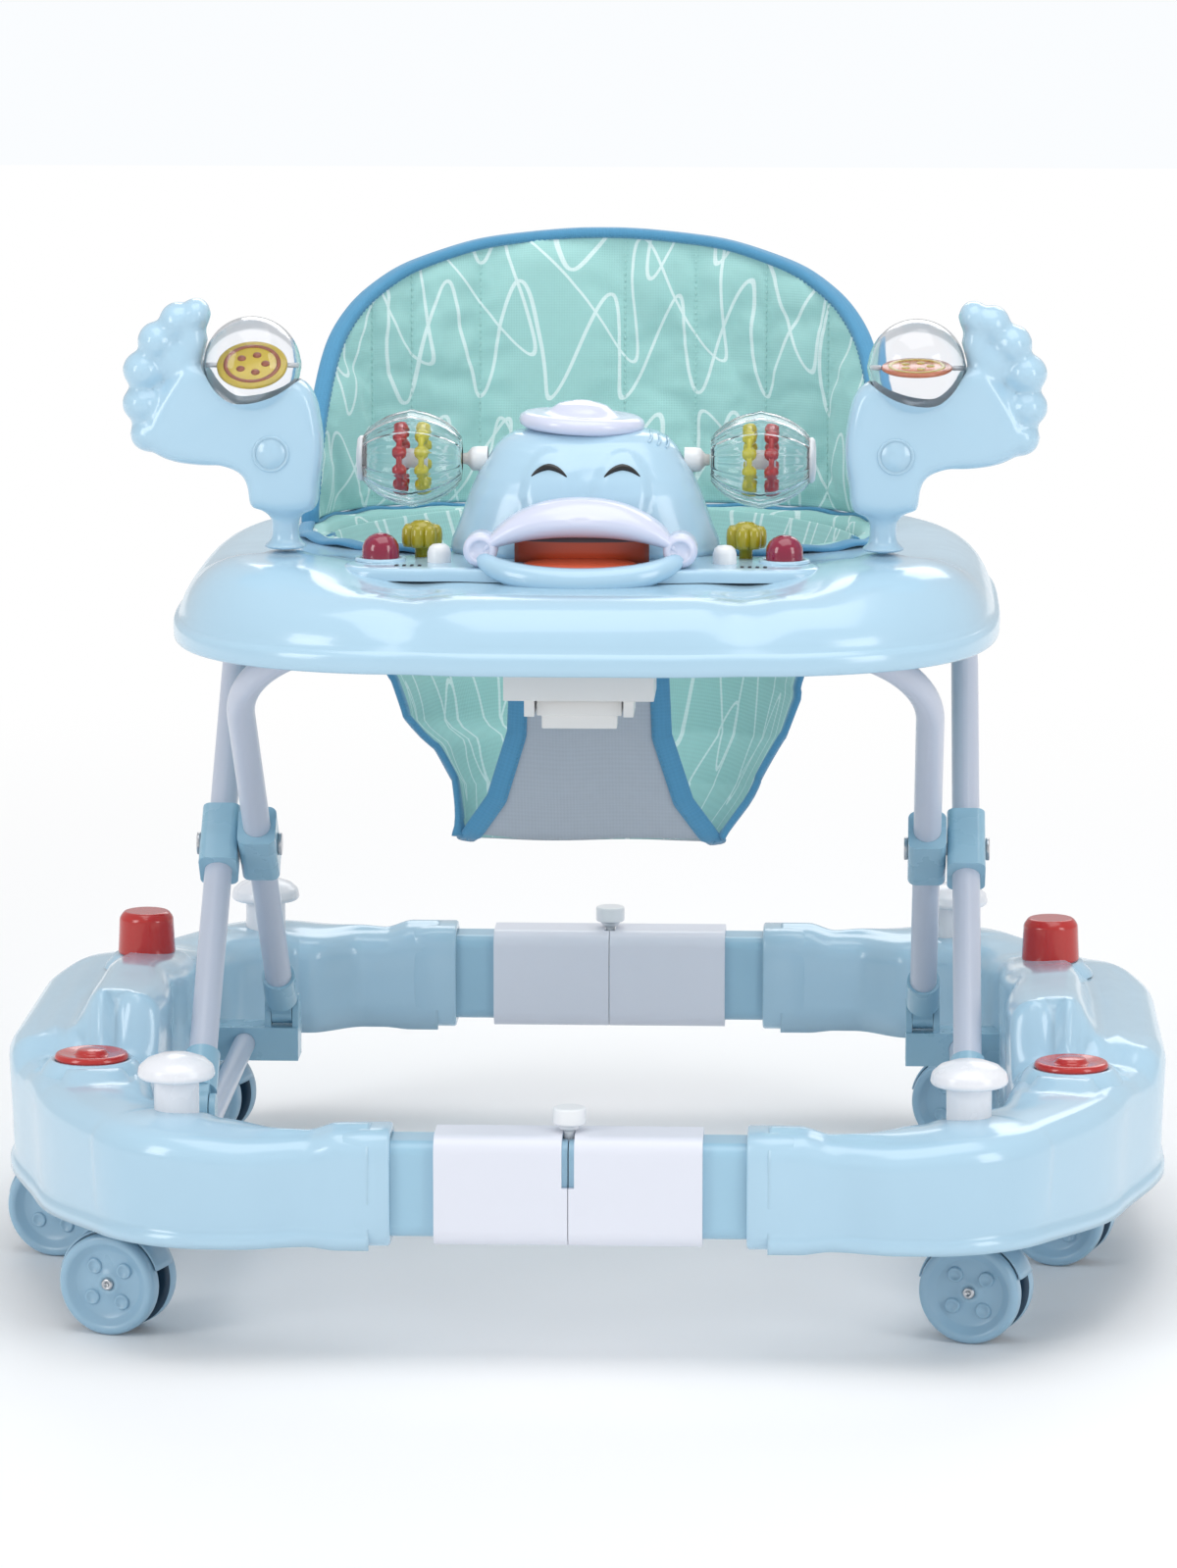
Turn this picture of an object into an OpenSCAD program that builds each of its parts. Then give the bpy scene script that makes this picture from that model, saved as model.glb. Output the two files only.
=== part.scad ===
// Baby walker with a folding X frame, a play tray and a fabric seat.
// Millimetres. +Z is up, +Y is towards the back, the child faces -Y.
// The origin is on the floor, under the middle of the base.

/* [Base] */
// Overall width of the base
base_w = 700; // [680:10:840]
// Distance between the centre lines of the front and rear crossbars
bar_pitch = 610; // [590:10:740]
// Width of each side body
side_t = 97; // [90:1:110]
// Height of the crossbar centre lines above the tops of the wheels
bar_lift = 42; // [38:1:60]
// Height of the side bodies above the crossbar centre lines
side_rise = 70; // [55:1:84]
// Wall of the moulded shells
wall = 3; // [2:0.5:4]

/* [Crossbars] */
// Height of the crossbar inserts
insert_h = 56; // [48:1:62]
// Thickness of the crossbar inserts
insert_t = 36; // [30:1:44]
// Length of the white sleeve over the joint of the inserts
sleeve_l = 153; // [140:1:185]
// Bare length of insert that shows on each side of the sleeve
insert_bare = 25; // [15:1:40]

/* [Casters] */
// Wheel diameter
wheel_d = 60; // [50:1:72]
// Width of one wheel of a twin pair
wheel_w = 12; // [9:1:15]
// Space between the two wheels of a pair
wheel_gap = 13; // [11:1:16]
// Trail from the swivel axis to the axle
trail = 17; // [8:1:18]
// Direction in which the casters rest
turn = 72; // [0:1:359]

/* [X frame] */
// Tube diameter
tube_d = 17; // [14:0.5:19]
// Tube wall
tube_wall = 1.2; // [1:0.1:2]
// Length of a leg from its lower pivot to the crossing
leg_low = 201; // [165:1:240]
// Length of a leg from the crossing to the axis of its top bar
leg_high = 227; // [190:1:230]
// Angle of the legs above the floor when the walker is up
leg_angle = 41.8; // [34:0.2:43]
// Distance of the rear pivots behind the middle of the base
rear_pivot_y = 165; // [140:1:190]
// Bend radius of the tubes
bend_r = 80; // [66:1:95]
// Diameter of the rail that each front foot slides on
rail_d = 14; // [12:0.5:16]

/* [Tray] */
// How far the tray reaches past the outer legs at each side
tray_over = 18; // [14:1:40]
// Depth of the tray, front to back
tray_d = 508; // [500:2:600]
// Height of the tray above its rim
tray_rise = 42; // [36:1:52]
// Width of the tray between the seat opening and the sides
ring_w = 84; // [72:1:100]

/* [Play panel] */
// Half width of the play panel
panel_x = 140; // [136:1:146]
// Height of the duck head above the tray
head_h = 82; // [70:1:95]
// Largest radius of the rattles
rattle_r = 29; // [24:0.5:29]
// Radius of the ball in each hand toy
ball_r = 29; // [25:0.5:31]
// Thickness of the hand toys
hand_t = 36; // [30:1:44]

/* [Seat] */
// Height of the backrest above the tray
back_h = 174; // [130:1:200]
// Thickness of the backrest padding
back_t = 14; // [10:1:16]
// Depth of the seat below the tray rim
sling_drop = 143; // [120:1:160]
// Thickness of the seat fabric
cloth_t = 4; // [3:0.5:5]

/* [Hidden] */
$fn = 48;

fit = 0.4;
run = 0.06;
eps = 0.01;

// Derived sizes of the base
bar_y = bar_pitch / 2;
bar_z = wheel_d + bar_lift;
side_in = base_w / 2 - side_t;
side_mid = base_w / 2 - side_t / 2;
corner_r = 50;
corner_a = 60;
flank_r = 410;
collar_t = insert_t + 2 * wall + 4;
collar_h = insert_h + 2 * wall + 6;
collar_x = sleeve_l / 2 + insert_bare;
collar_l = 30;
sleeve_t = insert_t + 2 * wall + 2;
sleeve_h = insert_h + 2 * wall + 2;
arm_top = bar_z + collar_h / 2;
arm_foot = bar_z - collar_h / 2;
skirt_z = wheel_d - 4;
skirt_clear_z = wheel_d + 2;

// Derived sizes of the X frame
tube_r = tube_d / 2;
rail_r = rail_d / 2;
plane_gap = tube_d + 7;
leg_out = side_in - 23;
leg_in = leg_out - plane_gap;
pivot_z = bar_z + 5;
rail_z = pivot_z - 22;
leg_len = leg_low + leg_high;
front_pivot_y = rear_pivot_y - 2 * leg_low * cos(leg_angle);
cross_y = rear_pivot_y - leg_low * cos(leg_angle);
cross_z = pivot_z + leg_low * sin(leg_angle);
top_z = pivot_z + leg_len * sin(leg_angle);
front_top_y = rear_pivot_y - leg_len * cos(leg_angle);
rear_top_y = front_pivot_y + leg_len * cos(leg_angle);
foot_pin_r = 4;
cross_pin_r = 4;
rail_front_y = -bar_y + 76;
rail_back_y = rear_pivot_y + 6;

// Derived sizes of the tray
tray_x = leg_out + tray_over;
tray_y = -6;
rim_z = top_z - 4;
deck_z = rim_z + tray_rise;
hole_x = tray_x - ring_w;
hole_y = 62;
hole_b = 102;
toy_x = tray_x - 71;
toy_y = -110;
toy_z = deck_z + 10;
panel_h = 7.5;
panel_z = deck_z + panel_h;
head_y = -84;
head_top = deck_z + head_h;
button_x = 119;
button_y = -130;
flower_x = 96;
flower_y = -113;
rattle_x = 104;
rattle_y = -75;
rattle_z = panel_z + 54;
bill_y = -147;
bill_z = panel_z + 10.5;

// Stations of the casters, posts and red parts on the left
caster_front = [-(side_in - 3), -(bar_y - 53)];
caster_mid = [-(base_w / 2 - 45), -64];
caster_rear = [-(side_in - 3), bar_y - 53];
post_front = [-(side_in - 25), -(bar_y - 32)];
post_rear = [-(side_in - 26), bar_y - 26];
post_r = 13;
post_travel = 18;
disc_at = [-(base_w / 2 - 60), -165];
cup_at = [-(base_w / 2 - 65), 90];
disc_z = bar_z + 41;
cup_z = bar_z + 55;

// ---------- shared shapes ----------

function lerp(a, b, t) = a + (b - a) * t;
function back_to_front(v) = [for (i = [len(v) - 1 : -1 : 0]) v[i]];
function power(v, p) = sign(v) * pow(abs(v), p);
function oval(a, rx, ry, cy, p) = [rx * power(cos(a), p), cy + ry * power(sin(a), p)];
function right_of(p) = [-p[0], p[1]];

// Skin over a row of rings with equal numbers of points. With wrap the last ring joins the first.
module loft(rings, wrap = false) {
    n = len(rings);
    m = len(rings[0]);
    points = [for (r = rings) each r];
    sides = [for (i = [0 : wrap ? n - 1 : n - 2], j = [0 : m - 1])
        let (k = (j + 1) % m, a = i * m, b = ((i + 1) % n) * m)
        each [[a + j, b + j, a + k], [a + k, b + j, b + k]]];
    start = [for (j = [0 : m - 1]) j];
    end = [for (j = [m - 1 : -1 : 0]) (n - 1) * m + j];
    polyhedron(points = points, faces = wrap ? sides : concat(sides, [start, end]), convexity = 8);
}

module rounded(w, h, r) {
    square([w - 2 * r, h], center = true);
    square([w, h - 2 * r], center = true);
    for (x = [-1, 1], y = [-1, 1])
        translate([x * (w / 2 - r), y * (h / 2 - r)]) circle(r);
}
module x_bar(l, t, h, r) { rotate([90, 0, 90]) linear_extrude(height = l, center = true) rounded(t, h, r); }
module x_rod(l, r) { rotate([0, 90, 0]) cylinder(h = l, r = r, center = true); }
module y_rod(l, r) { rotate([90, 0, 0]) cylinder(h = l, r = r, center = true); }
module post(at, r, z0, z1) { translate([at[0], at[1], z0]) cylinder(h = z1 - z0, r = r); }
module box(x0, x1, y0, y1, z0, z1) { translate([x0, y0, z0]) cube([x1 - x0, y1 - y0, z1 - z0]); }
module pair() { for (side = [0, 1]) mirror([side, 0, 0]) children(); }

// ---------- base shells ----------

arm_l = side_mid - collar_x - corner_r * sin(corner_a) - flank_r * (1 - sin(corner_a));
corner_l = corner_a * PI / 180 * corner_r;
flank_l = (90 - corner_a) * PI / 180 * flank_r;
flank_y = bar_y - corner_r * (1 - cos(corner_a)) - flank_r * cos(corner_a);
bend_end = arm_l + corner_l;
side_start = bend_end + flank_l;
path_l = 2 * (side_start + flank_y);

// Point and outward direction of the shell's centre line, at length s from its front collar.
function path(s) =
    s > path_l / 2 ? let (p = path(path_l - s)) [p[0], -p[1], p[2], -p[3]] :
    s < arm_l ? [-(collar_x + s), -bar_y, 0, -1] :
    s < bend_end ?
        let (a = (s - arm_l) / corner_l * corner_a)
        [-(collar_x + arm_l) - corner_r * sin(a), -(bar_y - corner_r) - corner_r * cos(a), -sin(a), -cos(a)] :
    s < side_start ?
        let (a = corner_a + (s - bend_end) / flank_l * (90 - corner_a))
        [-(side_mid - flank_r) - flank_r * sin(a), -flank_y - flank_r * cos(a), -sin(a), -cos(a)] :
    [-side_mid, -flank_y + (s - side_start), -1, 0];

function on_arm(s) = min(s, path_l - s) < arm_l;
function top_in(s) = on_arm(s) ? arm_top : lookup(path(s)[1], [[-bar_y, arm_top], [-165, arm_top + 4],
    [-132, arm_top + 10], [-112, bar_z + side_rise], [-20, bar_z + side_rise - 2], [90, bar_z + side_rise - 14],
    [150, bar_z + 46], [bar_y - 50, arm_top], [bar_y, arm_top]]);
function top_out(s) = on_arm(s) ? arm_top : lookup(path(s)[1], [[-bar_y, arm_top], [-165, arm_top + 3],
    [-112, bar_z + 46], [90, bar_z + 46], [bar_y - 50, arm_top], [bar_y, arm_top]]);
function foot(s) = on_arm(s) ? arm_foot : lookup(path(s)[1], [[-bar_y, arm_foot], [-190, skirt_clear_z],
    [0, skirt_clear_z], [12, skirt_z], [150, skirt_z], [190, skirt_clear_z], [bar_y, arm_foot]]);
function half_out(s) = lookup(min(s, path_l - s), [[arm_l * 0.4, collar_t / 2], [arm_l * 0.8, 32],
    [bend_end, 30], [bend_end + flank_l * 0.5, 35], [side_start, side_t / 2]]);
function half_in(s) = lookup(min(s, path_l - s), [[arm_l * 0.6, collar_t / 2], [arm_l * 0.92, 44],
    [bend_end, 44], [bend_end + flank_l * 0.2, 29], [bend_end + flank_l * 0.5, 36], [side_start, side_t / 2]]);

// Half of the shell's section: up the outer side, over the top and down the inner side.
function arch(s, inset, r) =
    let (wo = half_out(s) - inset, wi = half_in(s) - inset, f = foot(s), to = top_out(s) - inset, ti = top_in(s) - inset)
    concat([[wo, f]],
        [for (a = [0 : 30 : 90]) [wo - r + r * cos(a), to - r + r * sin(a)]],
        [for (a = [90 : 30 : 180]) [-(wi - r) + r * cos(a), ti - r + r * sin(a)]],
        [[-wi, f]]);
function section(s) =
    let (p = path(s))
    [for (q = concat(arch(s, 0, 16), back_to_front(arch(s, wall, 13)))) [p[0] + q[0] * p[2], p[1] + q[0] * p[3], q[1]]];

shell_steps = 64;
module shell_skin() {
    loft([for (i = [0 : shell_steps]) section(lerp(collar_l - 1, path_l - collar_l + 1, i / shell_steps))]);
}

// Closed collar that holds the end of an insert.
module collar(y) {
    translate([-(collar_x + collar_l / 2), y, bar_z]) difference() {
        x_bar(collar_l, collar_t, collar_h, 14);
        x_bar(collar_l + 2, insert_t + fit, insert_h + fit, 8);
    }
}

stem_r = 4;
stem_z = wheel_d + 5;
stem_l = 32;
module base_shell() {
    color([0.70, 0.83, 0.91]) difference() {
        union() {
            shell_skin();
            for (y = [-bar_y, bar_y]) collar(y);
            for (c = [caster_front, caster_rear]) post(c, 8.5, stem_z, arm_top - 1);
            post(caster_mid, 8.5, stem_z, bar_z + 46 - 1);
            for (p = [post_front, post_rear]) post(p, post_r + 3, bar_z - 8, arm_top - 1);
            post(disc_at, 26, arm_top, disc_z);
            post(cup_at, 22, bar_z + 44, cup_z);
        }
        for (c = [caster_front, caster_mid, caster_rear]) post(c, stem_r + run, stem_z - 1, stem_z + stem_l + 1);
        for (p = [post_front, post_rear]) post(p, post_r + fit, bar_z - 20, arm_top + 5);
        post(disc_at, 22.2, disc_z, disc_z + 20);
        post(cup_at, 18.2, cup_z, cup_z + 20);
    }
}
module base_shell_left() { base_shell(); }
module base_shell_right() { mirror([1, 0, 0]) base_shell(); }

// ---------- crossbars ----------

shank_r = 3;
slot_w = 7;
insert_l = collar_x + collar_l - 4;
module insert_piece(y) {
    translate([-insert_l / 2 - 0.3, y, bar_z]) difference() {
        x_bar(insert_l, insert_t, insert_h, 8);
        x_bar(insert_l + 2, insert_t - 2 * wall, insert_h - 2 * wall, 5);
        translate([insert_l / 2, 0, insert_h / 2]) cylinder(h = 20, r = shank_r + 1.5, center = true);
    }
}
module crossbar_inserts() {
    color([0.60, 0.77, 0.87]) pair() for (y = [-bar_y, bar_y]) insert_piece(y);
}

// Half of a sleeve, with half of the pin slot in its joint face.
module sleeve_half(y, slot_side) {
    translate([-sleeve_l / 4 - 0.1, y, bar_z]) difference() {
        x_bar(sleeve_l / 2 - 0.2, sleeve_t, sleeve_h, 10);
        x_bar(sleeve_l, insert_t + fit, insert_h + fit, 8);
        translate([sleeve_l / 4, slot_side * sleeve_t / 2, sleeve_h / 2])
            cube([slot_w, sleeve_t, 58], center = true);
    }
}
module front_sleeve() { color([0.90, 0.91, 0.95]) pair() sleeve_half(-bar_y, -0.4); }
module rear_sleeve() { color([0.90, 0.91, 0.95]) pair() sleeve_half(bar_y, 0.4); }

// Pull pin: a round knob on a steel shank that drops into the joint of the inserts.
module lock_pin(y) {
    color([0.88, 0.89, 0.92]) translate([0, y, bar_z + sleeve_h / 2]) {
        translate([0, 0, 1]) cylinder(h = 3, r = 6);
        translate([0, 0, 4]) cylinder(h = 10, r = 9.5);
        translate([0, 0, -26]) cylinder(h = 28, r = shank_r);
    }
}
module front_lock_pin() { lock_pin(-bar_y); }
module rear_lock_pin() { lock_pin(bar_y); }

// ---------- red parts ----------

cup_h = 27;
module cup() {
    translate([cup_at[0], cup_at[1], cup_z]) difference() {
        rotate_extrude() polygon([[0, 0], [18, 0], [18, 2], [17, cup_h - 4], [14, cup_h], [0, cup_h]]);
        translate([0, 0, -1]) cylinder(h = cup_h - 2, r = 14);
    }
}
module disc_cap() {
    translate([disc_at[0], disc_at[1], disc_z])
        rotate_extrude() polygon([[0, 0], [22, 0], [22, 3], [20, 4.5], [10, 3], [8.5, 6], [0, 7]]);
}
module red_caps() {
    color([0.72, 0.12, 0.12]) pair() {
        cup();
        disc_cap();
    }
}

// ---------- rails, brackets and sliders ----------

eye_w = 13;
eye_r = 10.5;
ear_t = 4;
ear_x = eye_w / 2 + 0.3;
module rail_tubes() {
    l = rail_back_y - rail_front_y;
    color([0.80, 0.83, 0.88]) for (side = [-1, 1])
        translate([side * leg_out, (rail_front_y + rail_back_y) / 2, rail_z]) difference() {
            y_rod(l, rail_r);
            y_rod(l + 2, rail_r - tube_wall);
        }
}

// Block at the back end of a rail, with the two ears of the rear pivot.
module rear_bracket() {
    top = pivot_z - eye_r - 1;
    difference() {
        union() {
            box(leg_in - ear_x - ear_t, side_in + wall, rear_pivot_y - 12, rear_pivot_y + 14, rail_z - rail_r - 4, top);
            for (x = [leg_in - ear_x - ear_t, leg_in + ear_x])
                box(x, x + ear_t, rear_pivot_y - 9, rear_pivot_y + 9, top - 1, pivot_z);
            for (x = [-1, 1]) translate([leg_in + x * (ear_x + ear_t / 2), rear_pivot_y, pivot_z]) x_rod(ear_t, 9);
            translate([leg_in, rear_pivot_y, pivot_z]) x_rod(eye_w + 4, foot_pin_r);
        }
        translate([leg_out, rear_pivot_y - 20, rail_z]) y_rod(2 * (rail_back_y - rear_pivot_y + 20), rail_r);
    }
}
module front_bracket() {
    difference() {
        box(leg_out - rail_r - 5, side_in + wall, rail_front_y - 8, rail_front_y + 8, rail_z - rail_r - 4, rail_z + rail_r + 5);
        translate([leg_out, rail_front_y + 20, rail_z]) y_rod(40, rail_r);
    }
}
module rail_brackets() {
    color([0.60, 0.77, 0.87]) pair() {
        rear_bracket();
        front_bracket();
    }
}

// Slider on a rail, with the two ears of the front pivot and its pin.
slider_w = 2 * (ear_x + ear_t);
module slider() {
    top = pivot_z - eye_r - 1;
    translate([leg_out, front_pivot_y, 0]) difference() {
        union() {
            box(-slider_w / 2, slider_w / 2, -15, 15, rail_z - rail_r - 3, top);
            for (x = [-ear_x - ear_t, ear_x]) box(x, x + ear_t, -9, 9, top - 1, pivot_z);
            for (x = [-1, 1]) translate([x * (ear_x + ear_t / 2), 0, pivot_z]) x_rod(ear_t, 9);
            translate([0, 0, pivot_z]) x_rod(eye_w + 4, foot_pin_r);
        }
        translate([0, 0, rail_z]) y_rod(34, rail_r + 0.08);
    }
}
module rail_sliders() { color([0.60, 0.77, 0.87]) pair() slider(); }

// ---------- X frame ----------

// U-shaped tube standing upright on its pivot, with holes for the cross pins.
tube_start = 14;
module hollow(l) {
    difference() {
        cylinder(h = l, r = tube_r);
        translate([0, 0, -1]) cylinder(h = l + 2, r = tube_r - tube_wall);
    }
}
module u_tube(x) {
    pair() {
        difference() {
            translate([x, 0, tube_start]) hollow(leg_len - bend_r - tube_start);
            translate([x, 0, leg_low]) x_rod(tube_d + 4, cross_pin_r + run);
        }
        translate([x - bend_r, 0, leg_len - bend_r]) rotate([90, 0, 0])
            rotate_extrude(angle = 90) translate([bend_r, 0]) difference() {
                circle(tube_r);
                circle(tube_r - tube_wall);
            }
    }
    translate([bend_r - x, 0, leg_len]) rotate([0, 90, 0]) hollow(2 * (x - bend_r));
}
module front_leg() { translate([0, rear_pivot_y, pivot_z]) rotate([90 - leg_angle, 0, 0]) children(); }
module rear_leg() { translate([0, front_pivot_y, pivot_z]) rotate([leg_angle - 90, 0, 0]) children(); }
module front_tube() { color([0.80, 0.83, 0.89]) front_leg() u_tube(leg_in); }
module rear_tube() { color([0.80, 0.83, 0.89]) rear_leg() u_tube(leg_out); }

// Plastic block round a tube where the legs cross.
block_w = plane_gap - 0.6;
module cross_block(x) {
    translate([x, 0, leg_low]) difference() {
        linear_extrude(height = 43, center = true) rounded(block_w, 27, 5);
        cylinder(h = 50, r = tube_r + run, center = true);
        x_rod(block_w + 2, cross_pin_r + run);
    }
}
module front_tube_blocks() { color([0.55, 0.72, 0.81]) front_leg() pair() cross_block(leg_in); }
module rear_tube_blocks() { color([0.55, 0.72, 0.81]) rear_leg() pair() cross_block(leg_out); }
module cross_pins() {
    x0 = leg_in - block_w / 2;
    x1 = leg_out + block_w / 2;
    color([0.7, 0.72, 0.75]) pair() translate([0, cross_y, cross_z]) {
        translate([(x0 + x1) / 2, 0, 0]) x_rod(x1 - x0 + 1, cross_pin_r);
        translate([x0 - 1.2, 0, 0]) x_rod(2.4, 7);
        translate([x1 + 1.5, 0, 0]) x_rod(2.4, 7);
    }
}

// Foot on the end of a leg: an eye for the pivot pin and a cup for the tube.
module foot_cap(x) {
    translate([x, 0, 0]) difference() {
        union() {
            x_rod(eye_w, eye_r);
            translate([0, 0, 10]) cube([eye_w, 17, 10], center = true);
            translate([0, 0, 12]) cylinder(h = 28, r = tube_r + 2);
        }
        translate([0, 0, tube_start]) cylinder(h = 40, r = tube_r + run);
        x_rod(eye_w + 2, foot_pin_r + run);
    }
}
module front_tube_feet() { color([0.55, 0.72, 0.81]) front_leg() pair() foot_cap(leg_in); }
module rear_tube_feet() { color([0.55, 0.72, 0.81]) rear_leg() pair() foot_cap(leg_out); }

// ---------- casters ----------

axle_r = 3;
module fork(at) {
    w = wheel_gap - 2;
    color([0.60, 0.76, 0.86]) translate([at[0], at[1], 0]) rotate([0, 0, turn]) difference() {
        union() {
            translate([0, 0, stem_z - 5]) cylinder(h = stem_l + 5, r = stem_r);
            translate([0, 0, wheel_d - 4]) cylinder(h = 7.5, r = 9);
            translate([0, 0, wheel_d + 0.5]) cylinder(h = 3, r = 12);
            translate([0, trail, wheel_d / 2]) x_rod(w, 14);
            box(-w / 2, w / 2, -8, trail + 8, wheel_d / 2 + 2, wheel_d - 2);
        }
        translate([0, trail, wheel_d / 2]) x_rod(wheel_gap + 4, axle_r + run);
    }
}
module wheels(at) {
    r = wheel_d / 2;
    color([0.66, 0.80, 0.90]) translate([at[0], at[1], 0]) rotate([0, 0, turn]) translate([0, trail, r]) {
        for (side = [-1, 1]) rotate([0, side * 90, 0]) translate([0, 0, wheel_gap / 2]) rotate_extrude()
            polygon([[axle_r - 1, 0], [r - 6, 0], [r - 4, 1.5], [r - 1.5, 1.5], [r, 3], [r, wheel_w - 3],
                [r - 2, wheel_w - 0.5], [r - 5, wheel_w], [r - 8, wheel_w - 2.5], [axle_r - 1, wheel_w - 2.5]]);
        x_rod(wheel_gap + 2 * wheel_w - 4, axle_r);
    }
}
module caster_fork_front_left() { fork(caster_front); }
module caster_fork_front_right() { fork(right_of(caster_front)); }
module caster_fork_mid_left() { fork(caster_mid); }
module caster_fork_mid_right() { fork(right_of(caster_mid)); }
module caster_fork_rear_left() { fork(caster_rear); }
module caster_fork_rear_right() { fork(right_of(caster_rear)); }
module caster_wheels_front_left() { wheels(caster_front); }
module caster_wheels_front_right() { wheels(right_of(caster_front)); }
module caster_wheels_mid_left() { wheels(caster_mid); }
module caster_wheels_mid_right() { wheels(right_of(caster_mid)); }
module caster_wheels_rear_left() { wheels(caster_rear); }
module caster_wheels_rear_right() { wheels(right_of(caster_rear)); }

// ---------- brake posts ----------

// Push-down post: a mushroom cap on a hollow stem.
module brake_post(at) {
    cap_z = arm_top + post_travel + 2;
    foot_z = stem_z - 2 + post_travel + 3;
    color([0.93, 0.93, 0.96]) translate([at[0], at[1], 0]) rotate_extrude()
        polygon([[0, cap_z + 3], [post_r - 3, cap_z + 2], [post_r - 3, foot_z], [post_r, foot_z], [post_r, cap_z],
            [21, cap_z], [22.5, cap_z + 2], [21.5, cap_z + 7], [17, cap_z + 11], [10, cap_z + 13.5], [0, cap_z + 14.5]]);
}
module brake_post_front_left() { brake_post(post_front); }
module brake_post_front_right() { brake_post(right_of(post_front)); }
module brake_post_rear_left() { brake_post(post_rear); }
module brake_post_rear_right() { brake_post(right_of(post_rear)); }

// ---------- tray ----------

// Domes under the hand toys.
function dome(x, y) =
    let (d = norm([abs(x) - toy_x, y - toy_y]))
    d > 36 ? 0 : 11 * pow(cos(d / 36 * 90), 2);

// Rings of the tray: half width, half depth, middle, height and squareness.
tray_b = tray_d / 2;
function tray_side(in, z) = [tray_x - in, tray_b - in, tray_y, z, 0.59];
function tray_hole(out, z) = [hole_x + out, hole_b + out, hole_y, z, 0.78];
tray_outer = [
    tray_side(1.5, rim_z), tray_side(0, rim_z + 2), tray_side(0, rim_z + 11), tray_side(3, rim_z + 13),
    tray_side(6, rim_z + 22), tray_side(13, rim_z + 32), tray_side(24, rim_z + 39), tray_side(38, deck_z),
    tray_side(52, deck_z)];
tray_lip = [tray_hole(12, deck_z), tray_hole(2, deck_z), tray_hole(0, deck_z - 2), tray_hole(0, deck_z - 14),
    tray_hole(wall, deck_z - 14), tray_hole(wall + 1, deck_z - wall), tray_hole(12, deck_z - wall)];
tray_inner = [tray_side(52, deck_z - wall), tray_side(38, deck_z - wall),
    tray_side(26, rim_z + 36), tray_side(16, rim_z + 30), tray_side(9.5, rim_z + 21), tray_side(6, rim_z + 12),
    tray_side(4.5, rim_z + 8), tray_side(4.5, rim_z)];
function tray_ring(r) = [for (k = [0 : 71])
    let (q = oval(k * 5, r[0], r[1], r[2], r[4]))
    [q[0], q[1], r[3] + (r[3] > rim_z + 35 ? dome(q[0], q[1]) : 0)]];
// Ring of the deck, a share t of the way from the tray's edge to the opening.
function deck_ring(t, z) =
    let (a = tray_ring(tray_side(52, 0)), b = tray_ring(tray_hole(12, 0)))
    [for (k = [0 : 71]) let (q = lerp(a[k], b[k], t)) [q[0], q[1], z + dome(q[0], q[1])]];
deck_steps = [0.12, 0.26, 0.42];
module tray_shell() {
    color([0.70, 0.83, 0.91]) loft(concat([for (r = tray_outer) tray_ring(r)],
        [for (t = deck_steps) deck_ring(t, deck_z)], [for (r = tray_lip) tray_ring(r)],
        [for (t = back_to_front(deck_steps)) deck_ring(t, deck_z - wall)],
        [for (r = tray_inner) tray_ring(r)]), wrap = true);
}

// Saddles that hold the top bar of the rear tube under the tray.
clamp_x = 118;
module tube_clamps() {
    color([0.60, 0.77, 0.87]) pair() translate([clamp_x, rear_top_y, top_z]) difference() {
        union() {
            x_rod(22, tube_r + 3);
            box(-11, 11, -tube_r - 3, tube_r + 3, 0, deck_z - wall - top_z);
        }
        x_rod(24, tube_r + run);
    }
}

// Housing below the top bar of the front tube, hung from the deck at the back of the bar.
latch_w = 88;
latch_top = top_z - tube_r - 1;
latch_y0 = front_top_y - 30;
latch_y1 = front_top_y + tube_r + 2;
module latch_housing() {
    color([0.92, 0.92, 0.91]) difference() {
        union() {
            box(-latch_w / 2, latch_w / 2, latch_y0, latch_y1 + 8, latch_top - 20, latch_top);
            box(-latch_w / 2, latch_w / 2, latch_y1, latch_y1 + 8, latch_top - 1, deck_z - wall);
            for (x = [-32, 26]) box(x, x + 6, latch_y0 + 4, latch_y1, latch_top - 30, latch_top - 19);
        }
        box(-25.5, 25.5, latch_y0 + 5, latch_y1 - 4, latch_top - 31, latch_top - 4);
    }
}
module latch_lever() {
    color([0.86, 0.86, 0.86]) union() {
        box(-25, 25, latch_y0 + 9, latch_y1 - 8, latch_top - 30, latch_top - 14);
        box(-22, 22, latch_y0 + 11, latch_y1 - 10, latch_top - 38, latch_top - 29);
    }
}

// ---------- hand toys ----------

ball_in = [-19, 109];
hand_outline = [[-9, 13], [9, 13], [14, 30], [18, 48], [24, 66], [25, 86], [20, 97], [10, 100],
    [-12, 112], [-32, 122], [-38, 142], [-49, 146], [-61, 142], [-74, 136], [-86, 126], [-92, 113],
    [-93, 98], [-90, 92], [-93, 79], [-88, 66], [-78, 55], [-61, 50], [-30, 48], [-19, 34], [-14, 26]];
module hand_body() {
    difference() {
        union() {
            rotate([90, 0, 0]) linear_extrude(height = hand_t, center = true) polygon(hand_outline);
            cylinder(h = 15, r1 = 17, r2 = 9);
        }
        translate([ball_in[0], 0, ball_in[1]]) sphere(ball_r + fit);
    }
}
module toy(side) {
    translate([side * toy_x, toy_y, toy_z + 1.6]) mirror([side > 0 ? 1 : 0, 0, 0]) children();
}
module hand_left() { color([0.66, 0.80, 0.89]) toy(-1) hand_body(); }
module hand_right() { color([0.66, 0.80, 0.89]) toy(1) hand_body(); }

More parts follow.
